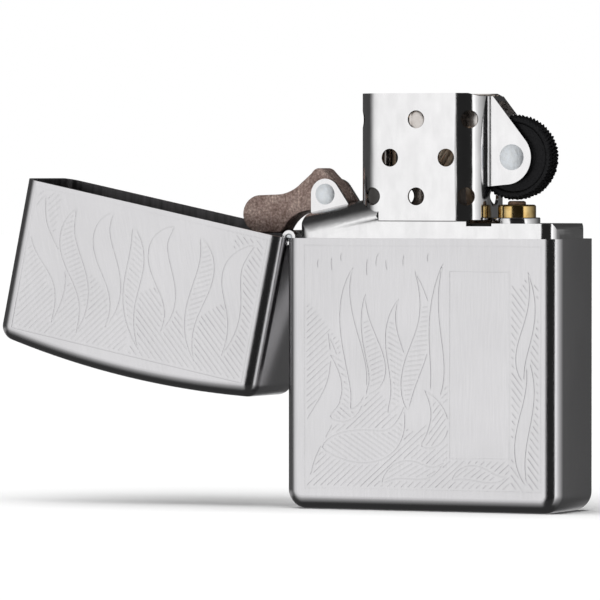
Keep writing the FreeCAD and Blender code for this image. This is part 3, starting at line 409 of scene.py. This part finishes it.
def tube(name, path, radius, material, sides=8):
    """A closed round rod along a list of points, with a slight taper where a point has its own radius."""
    points = [Vector(p[:3]) for p in path]
    radii = [p[3] if len(p) > 3 else radius for p in path]
    vertices, faces = [], []
    normal = Vector((1, 0, 0))
    for i, point in enumerate(points):
        ahead = points[min(i + 1, len(points) - 1)] - points[max(i - 1, 0)]
        ahead.normalize()
        normal = (normal - ahead * normal.dot(ahead)).normalized()
        side = ahead.cross(normal)
        for k in range(sides):
            angle = 2 * math.pi * k / sides
            vertices.append(point + (normal * math.cos(angle) + side * math.sin(angle)) * radii[i])
    for i in range(len(points) - 1):
        for k in range(sides):
            a, b = i * sides + k, i * sides + (k + 1) % sides
            faces.append((a, b, b + sides, a + sides))
    faces.append(tuple(reversed(range(sides))))
    faces.append(tuple(range(len(vertices) - sides, len(vertices))))
    return new_object(name, vertices, faces, material)


def join(name, objects):
    """One object from several."""
    bpy.ops.object.select_all(action="DESELECT")
    for obj in objects:
        obj.select_set(True)
    bpy.context.view_layer.objects.active = objects[0]
    bpy.ops.object.join()
    objects[0].name = name
    return objects[0]


# ---- engraving: the drawing, in millimetres on the flat front ------------------------------------------

def bezier(points, count=36):
    """Points along a smooth curve through a Bezier's hull of any order."""
    t = np.linspace(0, 1, count)[:, None]
    levels = [np.array(p, float)[None, :] * np.ones_like(t) for p in points]
    while len(levels) > 1:
        levels = [a * (1 - t) + b * t for a, b in zip(levels, levels[1:])]
    return levels[0]


def tongue(hull, width, power=0.75, count=40):
    """A flame tongue: a closed outline that swells along a curved spine and comes to a point at its end."""
    spine = bezier(hull, count)
    along = np.gradient(spine, axis=0)
    along /= np.linalg.norm(along, axis=1)[:, None]
    across = np.stack([-along[:, 1], along[:, 0]], axis=1)
    t = np.linspace(0, 1, count)
    half = width / 2 * np.sin(math.pi * t ** power) ** 0.9
    half[0] = half[-1] = 0
    left, right = spine + across * half[:, None], spine - across * half[:, None]
    return np.concatenate([left, right[-2:0:-1]])


def inside(points, polygon):
    """Which points lie inside a closed polygon."""
    x, y = points[:, 0], points[:, 1]
    result = np.zeros(len(points), bool)
    x0, y0 = polygon[-1]
    for x1, y1 in polygon:
        crosses = (y1 > y) != (y0 > y)
        if y1 != y0:
            result ^= crosses & (x < (x0 - x1) * (y - y1) / (y0 - y1) + x1)
        x0, y0 = x1, y1
    return result


def distance_to(points, polyline, closed=False):
    """Distance from each point to the nearest part of a polyline."""
    pts = np.vstack([polyline, polyline[:1]]) if closed else np.asarray(polyline)
    best = np.full(len(points), 1e9)
    for a, b in zip(pts[:-1], pts[1:]):
        d = b - a
        length = max(float(d @ d), 1e-12)
        t = np.clip(((points - a) @ d) / length, 0, 1)
        best = np.minimum(best, np.linalg.norm(points - (a + t[:, None] * d), axis=1))
    return best


def runs(mask):
    """Start and end indices of each stretch of True."""
    edges = np.flatnonzero(np.diff(np.concatenate([[False], mask, [False]]).astype(int)))
    return list(zip(edges[::2], edges[1::2] - 1))


def hatch(region, box, angle, spacing, shortest=0.5, step=0.1, taper=0.14):
    """Parallel lines at an angle over a box, kept where region(points) is true; their ends taper out."""
    low, high = np.array(box[0], float), np.array(box[1], float)
    centre, reach = (low + high) / 2, float(np.linalg.norm(high - low)) / 2
    along = np.array([math.cos(math.radians(angle)), math.sin(math.radians(angle))])
    across = np.array([-along[1], along[0]])
    offsets, t = np.arange(-reach, reach, spacing), np.arange(-reach, reach, step)
    points = centre + across * offsets[:, None, None] + along * t[None, :, None]
    keep = np.all((points > low) & (points < high), axis=2)
    keep[keep] = region(points[keep])
    lines = []
    for row, mask in zip(points, keep):
        for a, b in runs(mask):
            if t[b] - t[a] >= shortest:
                lines.append(np.array([row[a], row[a] + along * taper, row[b] - along * taper, row[b]]))
    return lines


def visible(outline, above):
    """The parts of a closed outline that no shape above it covers."""
    closed = np.vstack([outline, outline[:1]])
    dense = [closed[0]]
    for a, b in zip(closed[:-1], closed[1:]):
        steps = max(1, int(np.linalg.norm(b - a) / 0.3))
        dense += [a + (b - a) * k / steps for k in range(1, steps + 1)]
    dense = np.array(dense)
    keep = np.ones(len(dense), bool)
    for shape in above:
        keep &= ~inside(dense, shape) & (distance_to(dense, shape, True) > 0.22)
    return [dense[a:b + 1] for a, b in runs(keep) if b - a >= 3]


def rectangle(x0, z0, x1, z1):
    return np.array([[x0, z0], [x1, z0], [x1, z1], [x0, z1]], float)


def within(box, margin):
    (x0, z0), (x1, z1) = box
    return lambda p: (p[:, 0] > x0 + margin) & (p[:, 0] < x1 - margin) & (p[:, 1] > z0 + margin) & (
        p[:, 1] < z1 - margin)


def clear_of(shapes, margin):
    """A test for points outside every shape, by at least a margin."""
    def test(points):
        keep = np.ones(len(points), bool)
        for shape in shapes:
            low, high = shape.min(0) - margin, shape.max(0) + margin
            close = np.flatnonzero(keep & np.all((points > low) & (points < high), axis=1))
            if len(close):
                keep[close] = ~inside(points[close], shape)
                close = close[keep[close]]
                keep[close] = distance_to(points[close], shape, True) > margin
        return keep
    return test


def within_shape(shape, margin, above=()):
    """A test for points inside a shape by at least a margin, where nothing above it covers them."""
    covered = clear_of(above, margin)

    def test(points):
        keep = inside(points, shape)
        keep[keep] = distance_to(points[keep], shape, True) > margin
        keep[keep] = covered(points[keep])
        return keep
    return test


LINE_GAP = 0.24


def case_drawing():
    """Border, blank panel, flame tongues and hatching for the case's front."""
    border = ((-16.15, 2.75), (16.75, 33.95))
    panel = ((4.2, 6.9), (12.45, 30.7))
    # each tongue: spine, width, hatch angle or None; later ones lie on top
    tongues = [
        (((-15.4, 4.2), (-17.5, 11.0), (-9.0, 12.5), (-12.8, 22.5)), 3.4, None),
        (((-13.6, 8.0), (-9.0, 9.0), (-3.0, 6.0), (-2.2, 13.2)), 4.2, -32),
        (((-12.6, 12.0), (-8.2, 12.2), (-8.6, 16.8), (-12.4, 19.8)), 3.1, -38),
        (((-9.6, 13.0), (-6.2, 17.0), (-12.6, 24.0), (-9.4, 31.0)), 2.7, None),
        (((-7.4, 15.0), (-3.6, 18.0), (-8.4, 21.6), (-7.6, 27.6)), 2.5, 24),
        (((-4.4, 12.6), (-0.2, 17.6), (-6.0, 21.5), (-3.0, 27.0)), 2.6, -28),
        (((-1.6, 13.0), (-2.6, 19.5), (3.4, 22.0), (-0.6, 30.6)), 2.6, 8),
        (((1.0, 12.2), (4.6, 18.0), (0.2, 23.0), (3.2, 31.6)), 1.9, None),
        (((0.2, 8.4), (3.6, 9.4), (3.4, 13.0), (0.8, 15.4)), 2.6, 52),
        (((-5.2, 3.6), (-1.6, 7.4), (0.6, 3.2), (3.2, 6.2)), 2.3, 30),
        (((4.6, 4.2), (7.6, 6.4), (9.6, 3.6), (12.0, 4.6)), 1.9, 36),
        (((14.8, 3.6), (11.9, 10.0), (17.6, 14.0), (14.2, 21.5)), 1.7, None),
        (((14.4, 16.8), (12.7, 21.0), (17.0, 24.0), (15.0, 30.6)), 1.6, None),
    ]
    shapes = [tongue(hull, width) for hull, width, _ in tongues]
    panel_shape = rectangle(*panel[0], *panel[1])
    lines = [np.vstack([s, s[:1]]) for s in (rectangle(*border[0], *border[1]), panel_shape)]
    inner = within(border, LINE_GAP)
    for i, (shape, (_, _, angle)) in enumerate(zip(shapes, tongues)):
        above = shapes[i + 1:] + [panel_shape]
        for part in visible(shape, above):
            mask = inner(part)
            lines += [part[a:b + 1] for a, b in runs(mask) if b - a >= 3]
        if angle is not None:
            lines += hatch(within_shape(shape, LINE_GAP, above), (shape.min(0), shape.max(0)), angle, 0.6)
    free = clear_of(shapes + [panel_shape], LINE_GAP)

    def ground(points):
        x, z = points[:, 0], points[:, 1]
        left = z < 27.5 - 1.15 * (x + 16.15)
        low = z < 9.5 + 1.6 * np.sin(0.55 * x + 1.0)
        right = (x > 12.6) & (z < 29.5 + 0.9 * np.sin(2.2 * x))
        near_panel = (x > 2.2) & (x < 4.2) & (z < 17.5)
        return inner(points) & free(points) & (left | low | right | near_panel)

    def ground_left(points):
        return ground(points) & (points[:, 0] < 12.5)

    def ground_right(points):
        return ground(points) & (points[:, 0] > 12.6)

    lines += hatch(ground_left, border, 41, 0.62)
    lines += hatch(ground_right, border, -52, 0.62)
    # short strokes between the tips
    for x, z, tall, lean in (
        (-14.2, 31.0, 1.3, 0.1), (-12.2, 30.6, 1.9, -0.1), (-10.9, 31.9, 1.2, 0.05), (-7.3, 29.9, 2.6, 0.1),
        (-6.0, 31.2, 2.0, 0.4), (-4.5, 30.8, 1.4, -0.15), (-2.2, 31.3, 1.6, 0.1), (1.2, 31.9, 1.2, 0.1),
    ):
        stroke = bezier(((x, z), (x - 0.25, z + tall / 2), (x + lean, z + tall)), 8)
        lines.append(stroke)
    return lines


def lid_drawing():
    """The same style on the lid's front, in the closed lid's frame; no lettering."""
    border = ((-17.0, 35.7), (17.0, 54.6))
    tongues = [
        (((15.6, 36.6), (17.6, 45.0), (9.0, 43.0), (11.4, 52.6)), 3.0, None),
        (((10.8, 37.4), (13.6, 44.4), (5.4, 45.0), (7.6, 53.2)), 2.6, 34),
        (((5.4, 36.8), (9.4, 42.0), (0.4, 44.6), (3.6, 51.6)), 2.8, None),
        (((2.2, 38.0), (-1.0, 43.4), (3.2, 46.8), (-1.6, 53.4)), 2.4, -30),
        (((-3.6, 36.8), (1.6, 41.6), (-7.4, 44.4), (-4.4, 50.4)), 3.0, None),
        (((-7.6, 37.4), (-12.0, 42.4), (-5.6, 46.6), (-9.8, 53.2)), 2.5, 28),
        (((-15.4, 36.8), (-9.4, 42.0), (-16.6, 44.0), (-13.6, 51.6)), 2.7, None),
    ]
    shapes = [tongue(hull, width) for hull, width, _ in tongues]
    inner = within(border, LINE_GAP)
    lines = [np.vstack([s, s[:1]]) for s in (rectangle(*border[0], *border[1]),)]
    for i, (shape, (_, _, angle)) in enumerate(zip(shapes, tongues)):
        above = shapes[i + 1:]
        for part in visible(shape, above):
            lines += [part[a:b + 1] for a, b in runs(inner(part)) if b - a >= 3]
        if angle is not None:
            lines += hatch(within_shape(shape, LINE_GAP, above), (shape.min(0), shape.max(0)), angle, 0.6)
    free = clear_of(shapes, LINE_GAP)

    def ground(points):
        x, z = points[:, 0], points[:, 1]
        return inner(points) & free(points) & (
            (z > 46.5 + 1.5 * np.sin(0.6 * x)) | (x > 13.2) | (x < -12.4))

    lines += hatch(lambda p: ground(p) & (p[:, 0] > 0.3), border, 52, 0.62)
    lines += hatch(lambda p: ground(p) & (p[:, 0] < -0.3), border, -40, 0.62)
    return lines


# ---- engraving: cutting it into a shell ----------------------------------------------------------------

# millimetres
GROOVE_HALF = 0.085
GROOVE_DEPTH = 0.0175


def offset_polyline(line, distance):
    """A polyline moved sideways; ends stay square."""
    closed = len(line) > 3 and np.linalg.norm(line[0] - line[-1]) < 1e-9
    along = np.diff(line, axis=0)
    along /= np.maximum(np.linalg.norm(along, axis=1)[:, None], 1e-12)
    across = np.stack([-along[:, 1], along[:, 0]], axis=1)
    first = across[-1] + across[0] if closed else across[0]
    last = first if closed else across[-1]
    normals = np.vstack([first, across[:-1] + across[1:], last])
    normals /= np.maximum(np.linalg.norm(normals, axis=1)[:, None], 1e-12)
    nearest = np.vstack([across[:1], across])
    stretch = 1 / np.maximum(np.sum(normals * nearest, axis=1), 0.45)
    return line + normals * (distance * stretch)[:, None]


def engraved_copy(node, name, lines, material, inside_shade_material, to_flat=None):
    """A copy of a shell whose flat front is cut into triangles again, with V grooves along the lines."""
    mesh = NODES[node].data.copy()
    mesh.name = name
    bm = bmesh.new()
    bm.from_mesh(mesh)
    bmesh.ops.remove_doubles(bm, verts=bm.verts, dist=1e-7)
    front = [f for f in bm.faces if all(abs(v.co.y / MM - FRONT_Y) < 2e-4 for v in f.verts)]
    faces = set(front)
    rim = [e for e in {e for f in front for e in f.edges} if sum(f in faces for f in e.link_faces) == 1]
    follow = {}
    for edge in rim:
        for a, b in (edge.verts, reversed(edge.verts)):
            follow.setdefault(a, []).append(b)
    start = rim[0].verts[0]
    loop, previous, here = [start], None, start
    while True:
        ahead = next(v for v in follow[here] if v is not previous)
        if ahead is start:
            break
        loop.append(ahead)
        previous, here = here, ahead
    assert len(loop) == len(rim), "the front's outline is not one loop"
    ring = np.array([[v.co.x / MM, v.co.z / MM] for v in loop])
    bmesh.ops.delete(bm, geom=front, context="FACES_ONLY")
    points = [Vector(p) for p in ring]
    edges = [(i, (i + 1) % len(ring)) for i in range(len(ring))]
    flat_lines = [to_flat(line) if to_flat else line for line in lines]
    for line in flat_lines:
        for shift in (-GROOVE_HALF, 0.0, GROOVE_HALF):
            moved = offset_polyline(line, shift) if shift else line
            closed = len(line) > 3 and np.linalg.norm(line[0] - line[-1]) < 1e-9
            if closed:
                moved = moved[:-1]
            first = len(points)
            points += [Vector(p) for p in moved]
            count = len(moved)
            edges += [(first + i, first + (i + 1) % count) for i in range(count if closed else count - 1)]
        if not closed:
            # joins the groove's three lines at each end
            edges += [(first - 2 * count, first - count), (first - count, first)]
            edges += [(first - count - 1, first - 1), (first - 1, first + count - 1)]
    outline_face = [list(range(len(ring)))]
    verts, _, tris, orig, _, _ = delaunay_2d_cdt(points, edges, outline_face, 1, 1e-5, True)
    placed = np.array([[v.x, v.y] for v in verts])
    near = np.full(len(placed), 1e9)
    for line in flat_lines:
        low, high = line.min(0) - 0.2, line.max(0) + 0.2
        close = np.flatnonzero(np.all((placed > low) & (placed < high), axis=1))
        if len(close):
            near[close] = np.minimum(near[close], distance_to(placed[close], line))
    depth = GROOVE_DEPTH * np.clip(1 - near / (GROOVE_HALF * 0.98), 0, 1)
    open_lines = [line for line in flat_lines if np.linalg.norm(line[0] - line[-1]) > 1e-9]
    ends = np.array([line[k] for line in open_lines for k in (0, -1)])
    for end in ends:
        depth[np.linalg.norm(placed - end, axis=1) < 1e-4] = 0
    by_place = {i: loop[i] for i in range(len(loop))}
    made = []
    for i, (x, z) in enumerate(placed):
        source = [k for k in orig[i] if k < len(loop)]
        if source:
            made.append(by_place[source[0]])
        else:
            made.append(bm.verts.new((x * MM, (FRONT_Y + depth[i]) * MM, z * MM)))
    for tri in tris:
        corners = [made[k] for k in tri]
        if len(set(corners)) == 3:
            try:
                bm.faces.new(corners)
            except ValueError:
                pass
    bmesh.ops.recalc_face_normals(bm, faces=bm.faces)
    bm.to_mesh(mesh)
    bm.free()
    mesh.materials.clear()
    mesh.materials.append(material)
    obj = bpy.data.objects.new(name, mesh)
    bpy.context.scene.collection.objects.link(obj)
    # painted shade: the faces inside the shell get the darker inside sheet
    line_inside(obj, middle_of(node), inside_shade_material)
    smooth(obj, 24, lambda face: all(abs(v.co.y / MM - FRONT_Y) < 2e-4 for v in face.verts))
    return obj


def closed_to_open(line):
    """Turns points of the closed lid to their open place, as (x, z)."""
    c, s = math.cos(-OPEN_ANGLE), math.sin(-OPEN_ANGLE)
    x, z = line[:, 0] - HINGE_X, line[:, 1] - HINGE_Z
    return np.stack([HINGE_X + x * c + z * s, HINGE_Z - x * s + z * c], axis=1)


# ---- the wheel -----------------------------------------------------------------------------------------

WHEEL_X, WHEEL_Z, WHEEL_R, WHEEL_HALF = 10.75, 45.3, 5.5, 1.3


def filed_wheel(material):
    """Flint wheel: slanted saw teeth round the rim, cut across by grooves, and dished sides."""
    teeth, steps = 66, 6
    draw = random.Random(11)
    wear = [[draw.uniform(0.55, 1.0) for _ in range(teeth)] for _ in range(4)]
    rows = [-1.3, -1.18, -0.98, -0.86, -0.52, -0.40, -0.06, 0.06, 0.40, 0.52, 0.86, 0.98, 1.18, 1.3]
    saw = [0.0, 0.08, 0.18, 0.26, 0.30, 0.06]
    around = teeth * steps
    vertices, faces = [], []
    for r, y in enumerate(rows):
        band = (r - 1) // 4
        lean = 0.5 * band + 0.9 * y / WHEEL_HALF
        groove = 0.16 if r % 4 in (0, 3) and 0 < r < len(rows) - 1 else 0.0
        edge = 0.26 if r in (0, len(rows) - 1) else 0.0
        for k in range(around):
            tooth = saw[k % steps] * wear[min(band, 3)][k // steps]
            radius = WHEEL_R - 0.32 + tooth - groove - edge
            angle = 2 * math.pi * (k + lean * steps / 2) / around
            vertices.append((WHEEL_X + radius * math.cos(angle), y, WHEEL_Z + radius * math.sin(angle)))
    for r in range(len(rows) - 1):
        for k in range(around):
            a, b = r * around + k, r * around + (k + 1) % around
            faces.append((a, b, b + around, a + around))
    # sides: rim, dish and hub down to the bore
    for side, base in ((-1, 0), (1, (len(rows) - 1) * around)):
        rings = [(4.62, WHEEL_HALF), (4.5, 1.24), (4.35, 1.08), (2.9, 1.08), (2.75, 1.24), (2.6, WHEEL_HALF),
                 (0.9, WHEEL_HALF), (0.86, 1.26)]
        previous = base
        for radius, half in rings:
            first = len(vertices)
            for k in range(around):
                angle = 2 * math.pi * (k + (0.9 * side) * steps / 2) / around
                vertices.append((WHEEL_X + radius * math.cos(angle), side * half,
                                 WHEEL_Z + radius * math.sin(angle)))
            for k in range(around):
                a, b = previous + k, previous + (k + 1) % around
                c, d = first + (k + 1) % around, first + k
                faces.append((a, d, c, b) if side < 0 else (a, b, c, d))
            previous = first
        if side < 0:
            bore = previous
    for k in range(around):
        a, b = bore + k, bore + (k + 1) % around
        faces.append((a, previous + k, previous + (k + 1) % around, b))
    obj = new_object("filed_wheel", vertices, faces, material)
    bm = bmesh.new()
    bm.from_mesh(obj.data)
    bmesh.ops.recalc_face_normals(bm, faces=bm.faces)
    bm.to_mesh(obj.data)
    bm.free()
    smooth(obj, 28)
    return obj


# ---- soft pieces ---------------------------------------------------------------------------------------

def woven_wick(yarn, wire):
    """A wick of twisted yarns with fine copper wires between them, frayed at the top."""
    draw = random.Random(7)
    centre, low, high = Vector((0.8, 0, 0)), 6.0, 49.3
    yarns = []
    for ring, count, thick, turns in ((0.98, 9, 0.47, 3.2), (0.38, 4, 0.42, -2.4)):
        for k in range(count):
            path = []
            phase = 2 * math.pi * k / count
            top = high - draw.uniform(0.0, 0.9)
            for i in range(90):
                t = i / 89
                z = low + (top - low) * t
                angle = phase + 2 * math.pi * turns * t
                spread = ring + (0.10 * max(0.0, t - 0.93) / 0.07)
                size = thick * (1.0 if t < 0.97 else 1.0 - 0.55 * (t - 0.97) / 0.03)
                path.append((centre.x + spread * math.cos(angle), spread * math.sin(angle), z, size))
            yarns.append(tube("yarn", path, thick, yarn, 7))
    wires = []
    for k in range(5):
        path = []
        for i in range(90):
            t = i / 89
            angle = 2 * math.pi * (k / 5 + 3.2 * t) + 0.34
            height = low + (high - 0.4 - low) * t
            path.append((centre.x + 1.36 * math.cos(angle), 1.36 * math.sin(angle), height))
        wires.append(tube("wire", path, 0.07, wire, 5))
    wick = join("wick_yarns", yarns)
    strands = join("wick_wires", wires)
    for obj in (wick, strands):
        smooth(obj, 60)
    return wick, strands


def soft_block(node, name, material, voxel, lift, seed):
    """A padded copy of a CAD soft solid: remeshed, uneven on its surface, inside the solid's own space."""
    obj = bpy.data.objects.new(name, NODES[node].data.copy())
    bpy.context.scene.collection.objects.link(obj)
    obj.data.materials.clear()
    obj.data.materials.append(material)
    remesh = obj.modifiers.new("remesh", "REMESH")
    remesh.mode = "VOXEL"
    remesh.voxel_size = voxel * MM
    bpy.context.view_layer.objects.active = obj
    bpy.ops.object.select_all(action="DESELECT")
    obj.select_set(True)
    bpy.ops.object.modifier_apply(modifier="remesh")
    rng = np.random.default_rng(seed)
    waves = [(rng.normal(size=3), rng.uniform(0, 6.28), 0.5 + 1.6 * k / 10) for k in range(12)]
    for vertex in obj.data.vertices:
        p = np.array(vertex.co) / MM
        height = sum(math.sin(float(d @ p) * f + s) for d, s, f in waves) / 6
        vertex.co -= vertex.normal * (lift * (0.6 + 0.5 * height)) * MM
    smooth(obj, 80)
    return obj


# ---- build ---------------------------------------------------------------------------------------------

SATIN, STEEL, INSIDE_SHADE = satin_chrome(), sheet_steel(), painted_shade_inside()
LINING, SHADOW, BENT_STEEL = hood_lining(), shadow_steel(), sheet_steel("bent_steel", (0.14, 0.2))
SATIN_LID = satin_chrome("satin_chrome_lid", math.pi - OPEN_ANGLE)
RIVET, SPRING, BRASS = rivet_steel(), spring_steel(), tube_brass()
BRONZE, BLACK, FLINT = sintered_bronze(), blackened_steel(), flint_alloy()
YARN, COTTON, FELT, COPPER = cotton_yarn(), white_cotton(), felt(), copper_wire()

case_front = engraved_copy("case_shell", "case_engraved", case_drawing(), SATIN, INSIDE_SHADE)
finish_piece(case_front, "case", "satin_chrome", "case_shell")
lid_front = engraved_copy("lid_shell", "lid_engraved", lid_drawing(), SATIN_LID, INSIDE_SHADE, closed_to_open)
finish_piece(lid_front, "lid", "satin_chrome", "lid_shell")

# node: body, record slot, material, how much its edges are eased in millimetres
for node, (body, slot, material, ease) in {
    "case_hinge_leaf": ("case", "bright_steel", STEEL, 0.04),
    "hinge_pin": ("case", "bright_steel", RIVET, 0.08),
    "lid_hinge_leaf": ("lid", "bright_steel", STEEL, 0.04),
    "insert_shell": ("insert", "bright_steel", STEEL, 0.0),
    "top_plate": ("insert", "bright_steel", STEEL, 0.0),
    "cam_bracket": ("insert", "bright_steel", BENT_STEEL, 0.0),
    "chimney": ("insert", "bright_steel", STEEL, 0.0),
    "cam_rivet": ("insert", "rivet_steel", RIVET, 0.0),
    "cam_spring": ("insert", "spring_steel", SPRING, 0.05),
    "cam_spring_rivet": ("insert", "rivet_steel", RIVET, 0.0),
    "wheel_rivet": ("insert", "rivet_steel", RIVET, 0.0),
    "flint_tube": ("insert", "tube_brass", BRASS, 0.0),
    "flint_tube_washer": ("insert", "bright_steel", STEEL, 0.0),
    "cam": ("cam", "sintered_bronze", BRONZE, 0.28),
    "flint": ("flint_feed", "flint_alloy", FLINT, 0.3),
    "flint_plunger": ("flint_feed", "tube_brass", BRASS, 0.1),
    "flint_spring": ("feed_spring", "spring_steel", SPRING, 0.0),
    "flint_screw": ("screw", "tube_brass", BRASS, 0.0),
}.items():
    piece = refined(node, material, ease)
    if node == "chimney":
        # the hood without its wheel ears: its middle is the middle column of air holes
        hood_middle = middle_of(node)
        hood_middle.x = HOOD_MIDDLE * MM
        line_inside(piece, hood_middle, LINING, HOOD_RIGHT * MM)
    if node in ("insert_shell", "top_plate"):
        # painted shade: the faces in the notches get the near-black steel
        darken(piece, NOTCHES, SHADOW)
    if node == "cam_bracket":
        ease_end(piece, *BRACKET_END)
    if node in RIVET_GRIPS:
        flatten_heads(piece, RIVET_GRIPS[node])
    finish_piece(piece, body, slot, node)

finish_piece(filed_wheel(BLACK), "wheel", "hardened_steel", "flint_wheel")

wick_yarns, wick_wires = woven_wick(YARN, COPPER)
finish_piece(wick_yarns, "insert", "wick_cotton", "wick")
finish_piece(wick_wires, "insert", "wick_cotton")

packing = soft_block("cotton_packing", "cotton_filling", COTTON, 0.5, 0.25, 3)
finish_piece(packing, "insert", "packing_cotton", "cotton_packing")
pad = soft_block("felt_pad", "felt_sole", FELT, 0.3, 0.06, 5)
finish_piece(pad, "insert", "pad_felt", "felt_pad")


# ---- studio --------------------------------------------------------------------------------------------

AZIMUTH, ELEVATION = math.radians(24.57), math.radians(1.17)
TARGET = Vector((-19.77, 0, 26.78)) * MM
DISTANCE = 838 * MM
PIXELS_PER_MM = 7.697
FRAME_WIDTH, SENSOR = 600, 36

back = Vector((math.sin(AZIMUTH) * math.cos(ELEVATION), -math.cos(AZIMUTH) * math.cos(ELEVATION),
               math.sin(ELEVATION)))
camera_data = bpy.data.cameras.new("camera")
camera_data.sensor_width = SENSOR
camera_data.lens = PIXELS_PER_MM / MM * DISTANCE / FRAME_WIDTH * SENSOR
camera_data.clip_start, camera_data.clip_end = 0.01, 20
camera = bpy.data.objects.new("camera", camera_data)
camera.location = TARGET + back * DISTANCE
camera.rotation_euler = (-back).to_track_quat("-Z", "Y").to_euler()
bpy.context.scene.collection.objects.link(camera)
bpy.context.scene.camera = camera
bpy.context.scene.view_settings.view_transform = "Standard"

# brightness of the studio round the object: compass angle in degrees, 0 is +X and 90 is +Y
AROUND = (
    (-180, 0.07), (-160, 0.07), (-147, 0.36), (-133, 0.92), (-118, 1.08), (-103, 1.2), (-99, 0.02),
    (-29, 0.02), (-25, 1.6), (-12, 1.05), (10, 0.60), (40, 0.29), (65, 0.09), (88, 0.08), (180, 0.07),
)
# a paler stretch low down behind it
BEHIND = ((-180, 0.25), (-150, 0.0), (0, 0.0), (80, 0.0), (110, 0.5), (180, 0.25))
# by elevation: the share of each, and light of its own from below and above
SHARE = (
    (-90, 0.0), (-58, 0.0), (-32, 0.34), (-21, 0.6), (-10, 1.0), (9, 1.0), (27, 0.42), (50, 0.09), (90, 0.06),
)
LOW = ((-90, 0.0), (-22, 0.0), (-18, 1.0), (-9, 1.0), (-4, 0.0), (90, 0.0))
OWN = ((-90, 0.04), (-60, 0.04), (-30, 0.03), (-15, 0.0), (34, 0.0), (50, 0.03), (90, 0.04))


def studio_world():
    """Panels of light and dark that only reflections see, and a plain white background for the camera."""
    world = bpy.data.worlds.new("studio")
    world.use_nodes = True
    tree = world.node_tree
    link = tree.links.new

    def math_node(operation, a, b=None):
        node = tree.nodes.new("ShaderNodeMath")
        node.operation = operation
        for socket, value in zip(node.inputs, (a, b)):
            if hasattr(value, "node"):
                link(value, socket)
            elif value is not None:
                socket.default_value = value
        return node.outputs[0]

    def curve(angle, stops, whole):
        """A brightness ramp over an angle in radians; whole is the span in degrees, centred on 0."""
        place = math_node("ADD", math_node("DIVIDE", angle, math.radians(whole)), 0.5)
        ramp = tree.nodes.new("ShaderNodeValToRGB")
        elements = ramp.color_ramp.elements
        while len(elements) < len(stops):
            elements.new(0.5)
        for element, (degrees, value) in zip(elements, stops):
            element.position = degrees / whole + 0.5
            element.color = (value, value, value, 1)
        link(place, ramp.inputs["Fac"])
        return ramp.outputs["Color"]

    direction = tree.nodes.new("ShaderNodeSeparateXYZ")
    link(tree.nodes.new("ShaderNodeTexCoord").outputs["Generated"], direction.inputs[0])
    x, y, z = direction.outputs
    compass, height = math_node("ARCTAN2", y, x), math_node("ARCSINE", z)
    panels = math_node("MULTIPLY", curve(compass, AROUND, 360), curve(height, SHARE, 180))
    low = math_node("MULTIPLY", curve(compass, BEHIND, 360), curve(height, LOW, 180))
    studio = math_node("ADD", math_node("ADD", panels, low), curve(height, OWN, 180))
    seen = tree.nodes.new("ShaderNodeLightPath").outputs["Is Camera Ray"]
    link(math_node("MAXIMUM", studio, seen), tree.nodes["Background"].inputs["Color"])
    return world


bpy.context.scene.world = studio_world()

light = bpy.data.lights.new("overhead", "SUN")
light.energy, light.angle = 3.75, math.radians(75)
overhead = bpy.data.objects.new("overhead", light)
overhead.rotation_euler = Vector((0.15, 0.25, -1)).to_track_quat("-Z", "Y").to_euler()
overhead.visible_glossy = False
bpy.context.scene.collection.objects.link(overhead)

floor_material = Mat("floor", Roughness=0.8, Base_Color=(0.9, 0.9, 0.9, 1))
reach = 3000
floor = new_object("floor", [(-reach, -reach, 0), (reach, -reach, 0), (reach, reach, 0), (-reach, reach, 0)],
                   [(0, 1, 2, 3)], floor_material.material)
floor.visible_glossy = False
